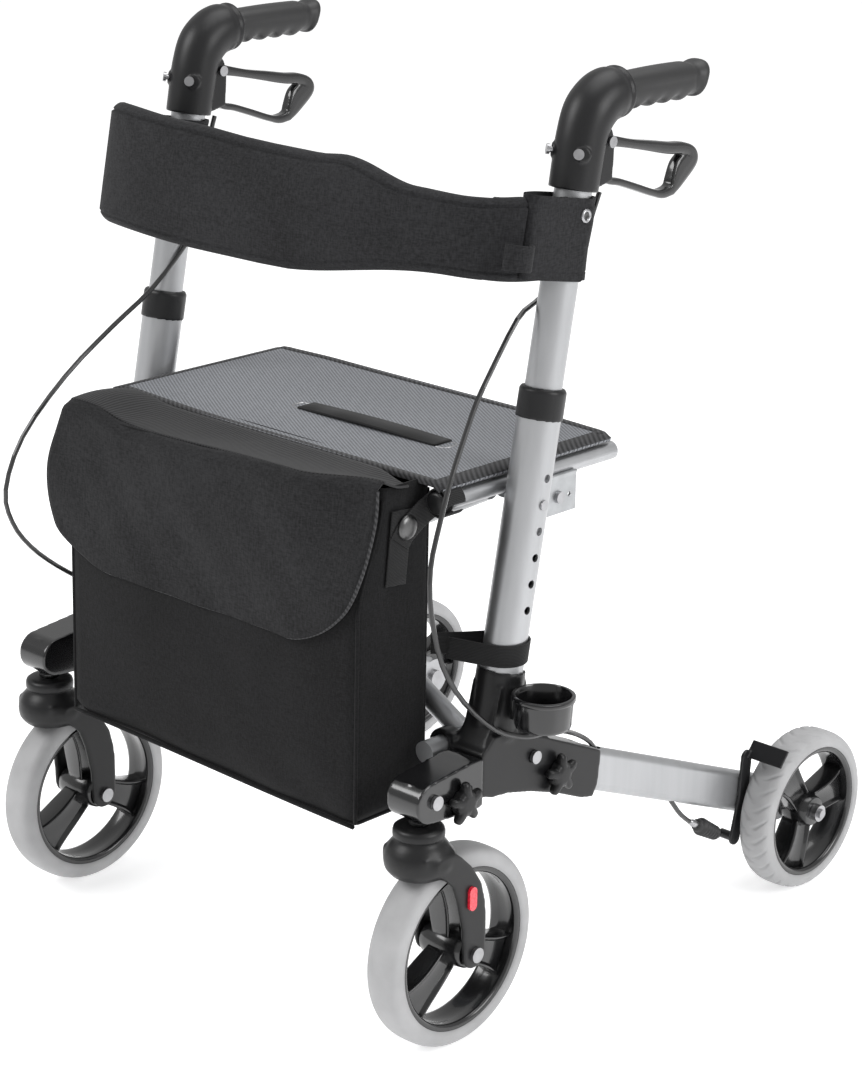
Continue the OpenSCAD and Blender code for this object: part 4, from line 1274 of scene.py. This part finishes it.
def make_bag_straps():
    """Side tabs with their snaps, and the hook-and-loop straps round the uprights."""
    for side, s in SIDES:
        body = side + "_frame"
        x = s * (BAG_HALF + 1.6)
        down = [pt(x, -322 + 0.10 * (z - 440), z) for z in range(452, 529, 6)]
        patch = strip_path("patch", down, (0, 1, 0), 0.027, 0.0018)
        path = [pt(x + s * 1.5, -318, 493), pt(x + s * 2.2, -312, 501), pt(x + s * 3, -302, 509),
                pt(x + s * 5, -290, 518), pt(x + s * 9, -280, 525), pt(x + s * 14, -276, 529)]
        tab = strip_path("tab", catmull(path, 6), (0, 0.45, -0.9), 0.027, 0.0018)
        turn = [pt(s * (228 + 13.6 * math.cos(a)), -277, 530 + 13.6 * math.sin(a))
                for a in (2 * math.pi * k / 28 for k in range(26))]
        wrap = strip_path("wrap", turn, (0, 1, 0), 0.024, 0.0016)
        straps = finish_piece(join(side + "_bag_tab", [patch, tab, wrap]), WEBBING, body, "webbing")
        stud = dome(side + "_bag_snap", pt(x + s * 3.2, -309, 507), (s, 0, 0),
                    [(0.2, -2), (10.5, -2), (12.2, -0.6), (12.4, 0.6), (11, 2.2), (8, 3.5), (4, 4.3),
                     (0.2, 4.6)])
        finish_piece(stud, SNAP, body, "black_metal")
        around = [pt(s * (UP_X + 23 * math.cos(a)), -227.7 + 23 * math.sin(a), BELT_Z) for a in
                  (math.radians(144 - 217 * k / 14) for k in range(15))]
        there = [pt(s * x, y, BELT_Z) for x, y in ((203, -267), (222, -244))]
        back = [pt(s * x, y, BELT_Z) for x, y in ((254, -254.5), (238, -259.5), (222, -264))]
        path = there + around + back
        belt = strip_path(side + "_bag_strap", catmull(path, 4), (0, 0.18, 0.98), 0.021, 0.002)
        finish_piece(belt, WEBBING, body, "webbing")


# Seat: an open woven sheet stretched over both rails, bound in black, with the pull strap across it
SEAT_Z = 547


def seat_height(x, y):
    across = max(0.0, 1 - (x / 222) ** 2)
    return SEAT_Z - 3.5 * across * math.sin(math.pi * min(1, max(0, (y + 290) / 250))) ** 0.5


def over_seat(obj):
    """Bakes the seat piece's placement into its mesh."""
    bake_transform(obj)


def make_seat():
    xs = [-234 + 468 * k / 60 for k in range(61)]

    def surface(x, v):
        y_front = -288 + 8 * smooth(-x, 0, 234) ** 2
        y_rear = -42 - 5 * smooth(abs(x), 150, 234)
        y = y_front + (y_rear - y_front) * v
        edge = smooth(abs(x), 222, 234)
        return pt(x, y, seat_height(x, y) - 5 * edge)

    sheet = sheet_shell("seat_sheet", surface, xs, [k / 30 for k in range(31)], -0.0026)
    finish_piece(sheet, SEAT, None, "seat_fabric", "seat_mesh")
    over_seat(sheet)
    tapes = []
    for v, wide in ((0.012, 9), (0.988, 11)):
        path = [surface(-232 + 464 * k / 60, v) + Vector((0, 0, 0.0002)) for k in range(61)]
        tapes.append(strip_path("hem", path, (0, 1, 0), wide / 1000, 0.0052))
    for s in (1, -1):
        path = [surface(s * 226.5, v) + Vector((0, 0, 0.0004)) for v in (k / 30 for k in range(31))]
        tapes.append(strip_path("hem", path, (1, 0, -0.25 * s), 0.016, 0.005))
    hems = finish_piece(join("seat_hems", tapes), BINDING, None, "webbing")
    over_seat(hems)
    path = [pt(x, -187, seat_height(x, -187) + 3.2 + 2.2 * math.sin(math.pi * (x + 47) / 188)
               ) for x in range(-47, 142, 4)]
    strap = strip_path("pull_strap", path, (0, 1, 0), 0.025, 0.003)
    finish_piece(strap, WEBBING, None, "webbing", "seat_strap")
    over_seat(strap)
    wires = []
    for end, sign in ((-47, -1), (141, 1)):
        z = seat_height(end, -187) + 2.2
        path = [pt(end - sign * 6, -198, z), pt(end + sign * 8, -197, z), pt(end + sign * 12, -193, z + 0.4),
                pt(end + sign * 12, -182, z + 0.4), pt(end + sign * 8, -178, z), pt(end - sign * 6, -177, z)]
        wires.append(tube_path("wire", catmull(path, 5), 0.0011, 8))
    wire = finish_piece(join("seat_wire_loops", wires), STEEL, None, "steel")
    over_seat(wire)


def make_cables():
    """Brake cables copied from the CAD cable nodes, in the cable material."""
    for side, s in SIDES:
        node = side + "_cable"
        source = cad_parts[node]
        mesh = source.data.copy()
        mesh.transform(source.matrix_world)
        obj = bpy.data.objects.new(side + "_cable_jacket", mesh)
        bpy.context.scene.collection.objects.link(obj)
        mesh.polygons.foreach_set("use_smooth", [True] * len(mesh.polygons))
        finish_piece(obj, CABLE, None, "cable_black", node)
        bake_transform(obj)


make_camera()
make_studio()
make_wheels()
make_hard_parts()
make_backrest()
make_bag()
make_flap()
make_bag_straps()
make_seat()
make_cables()
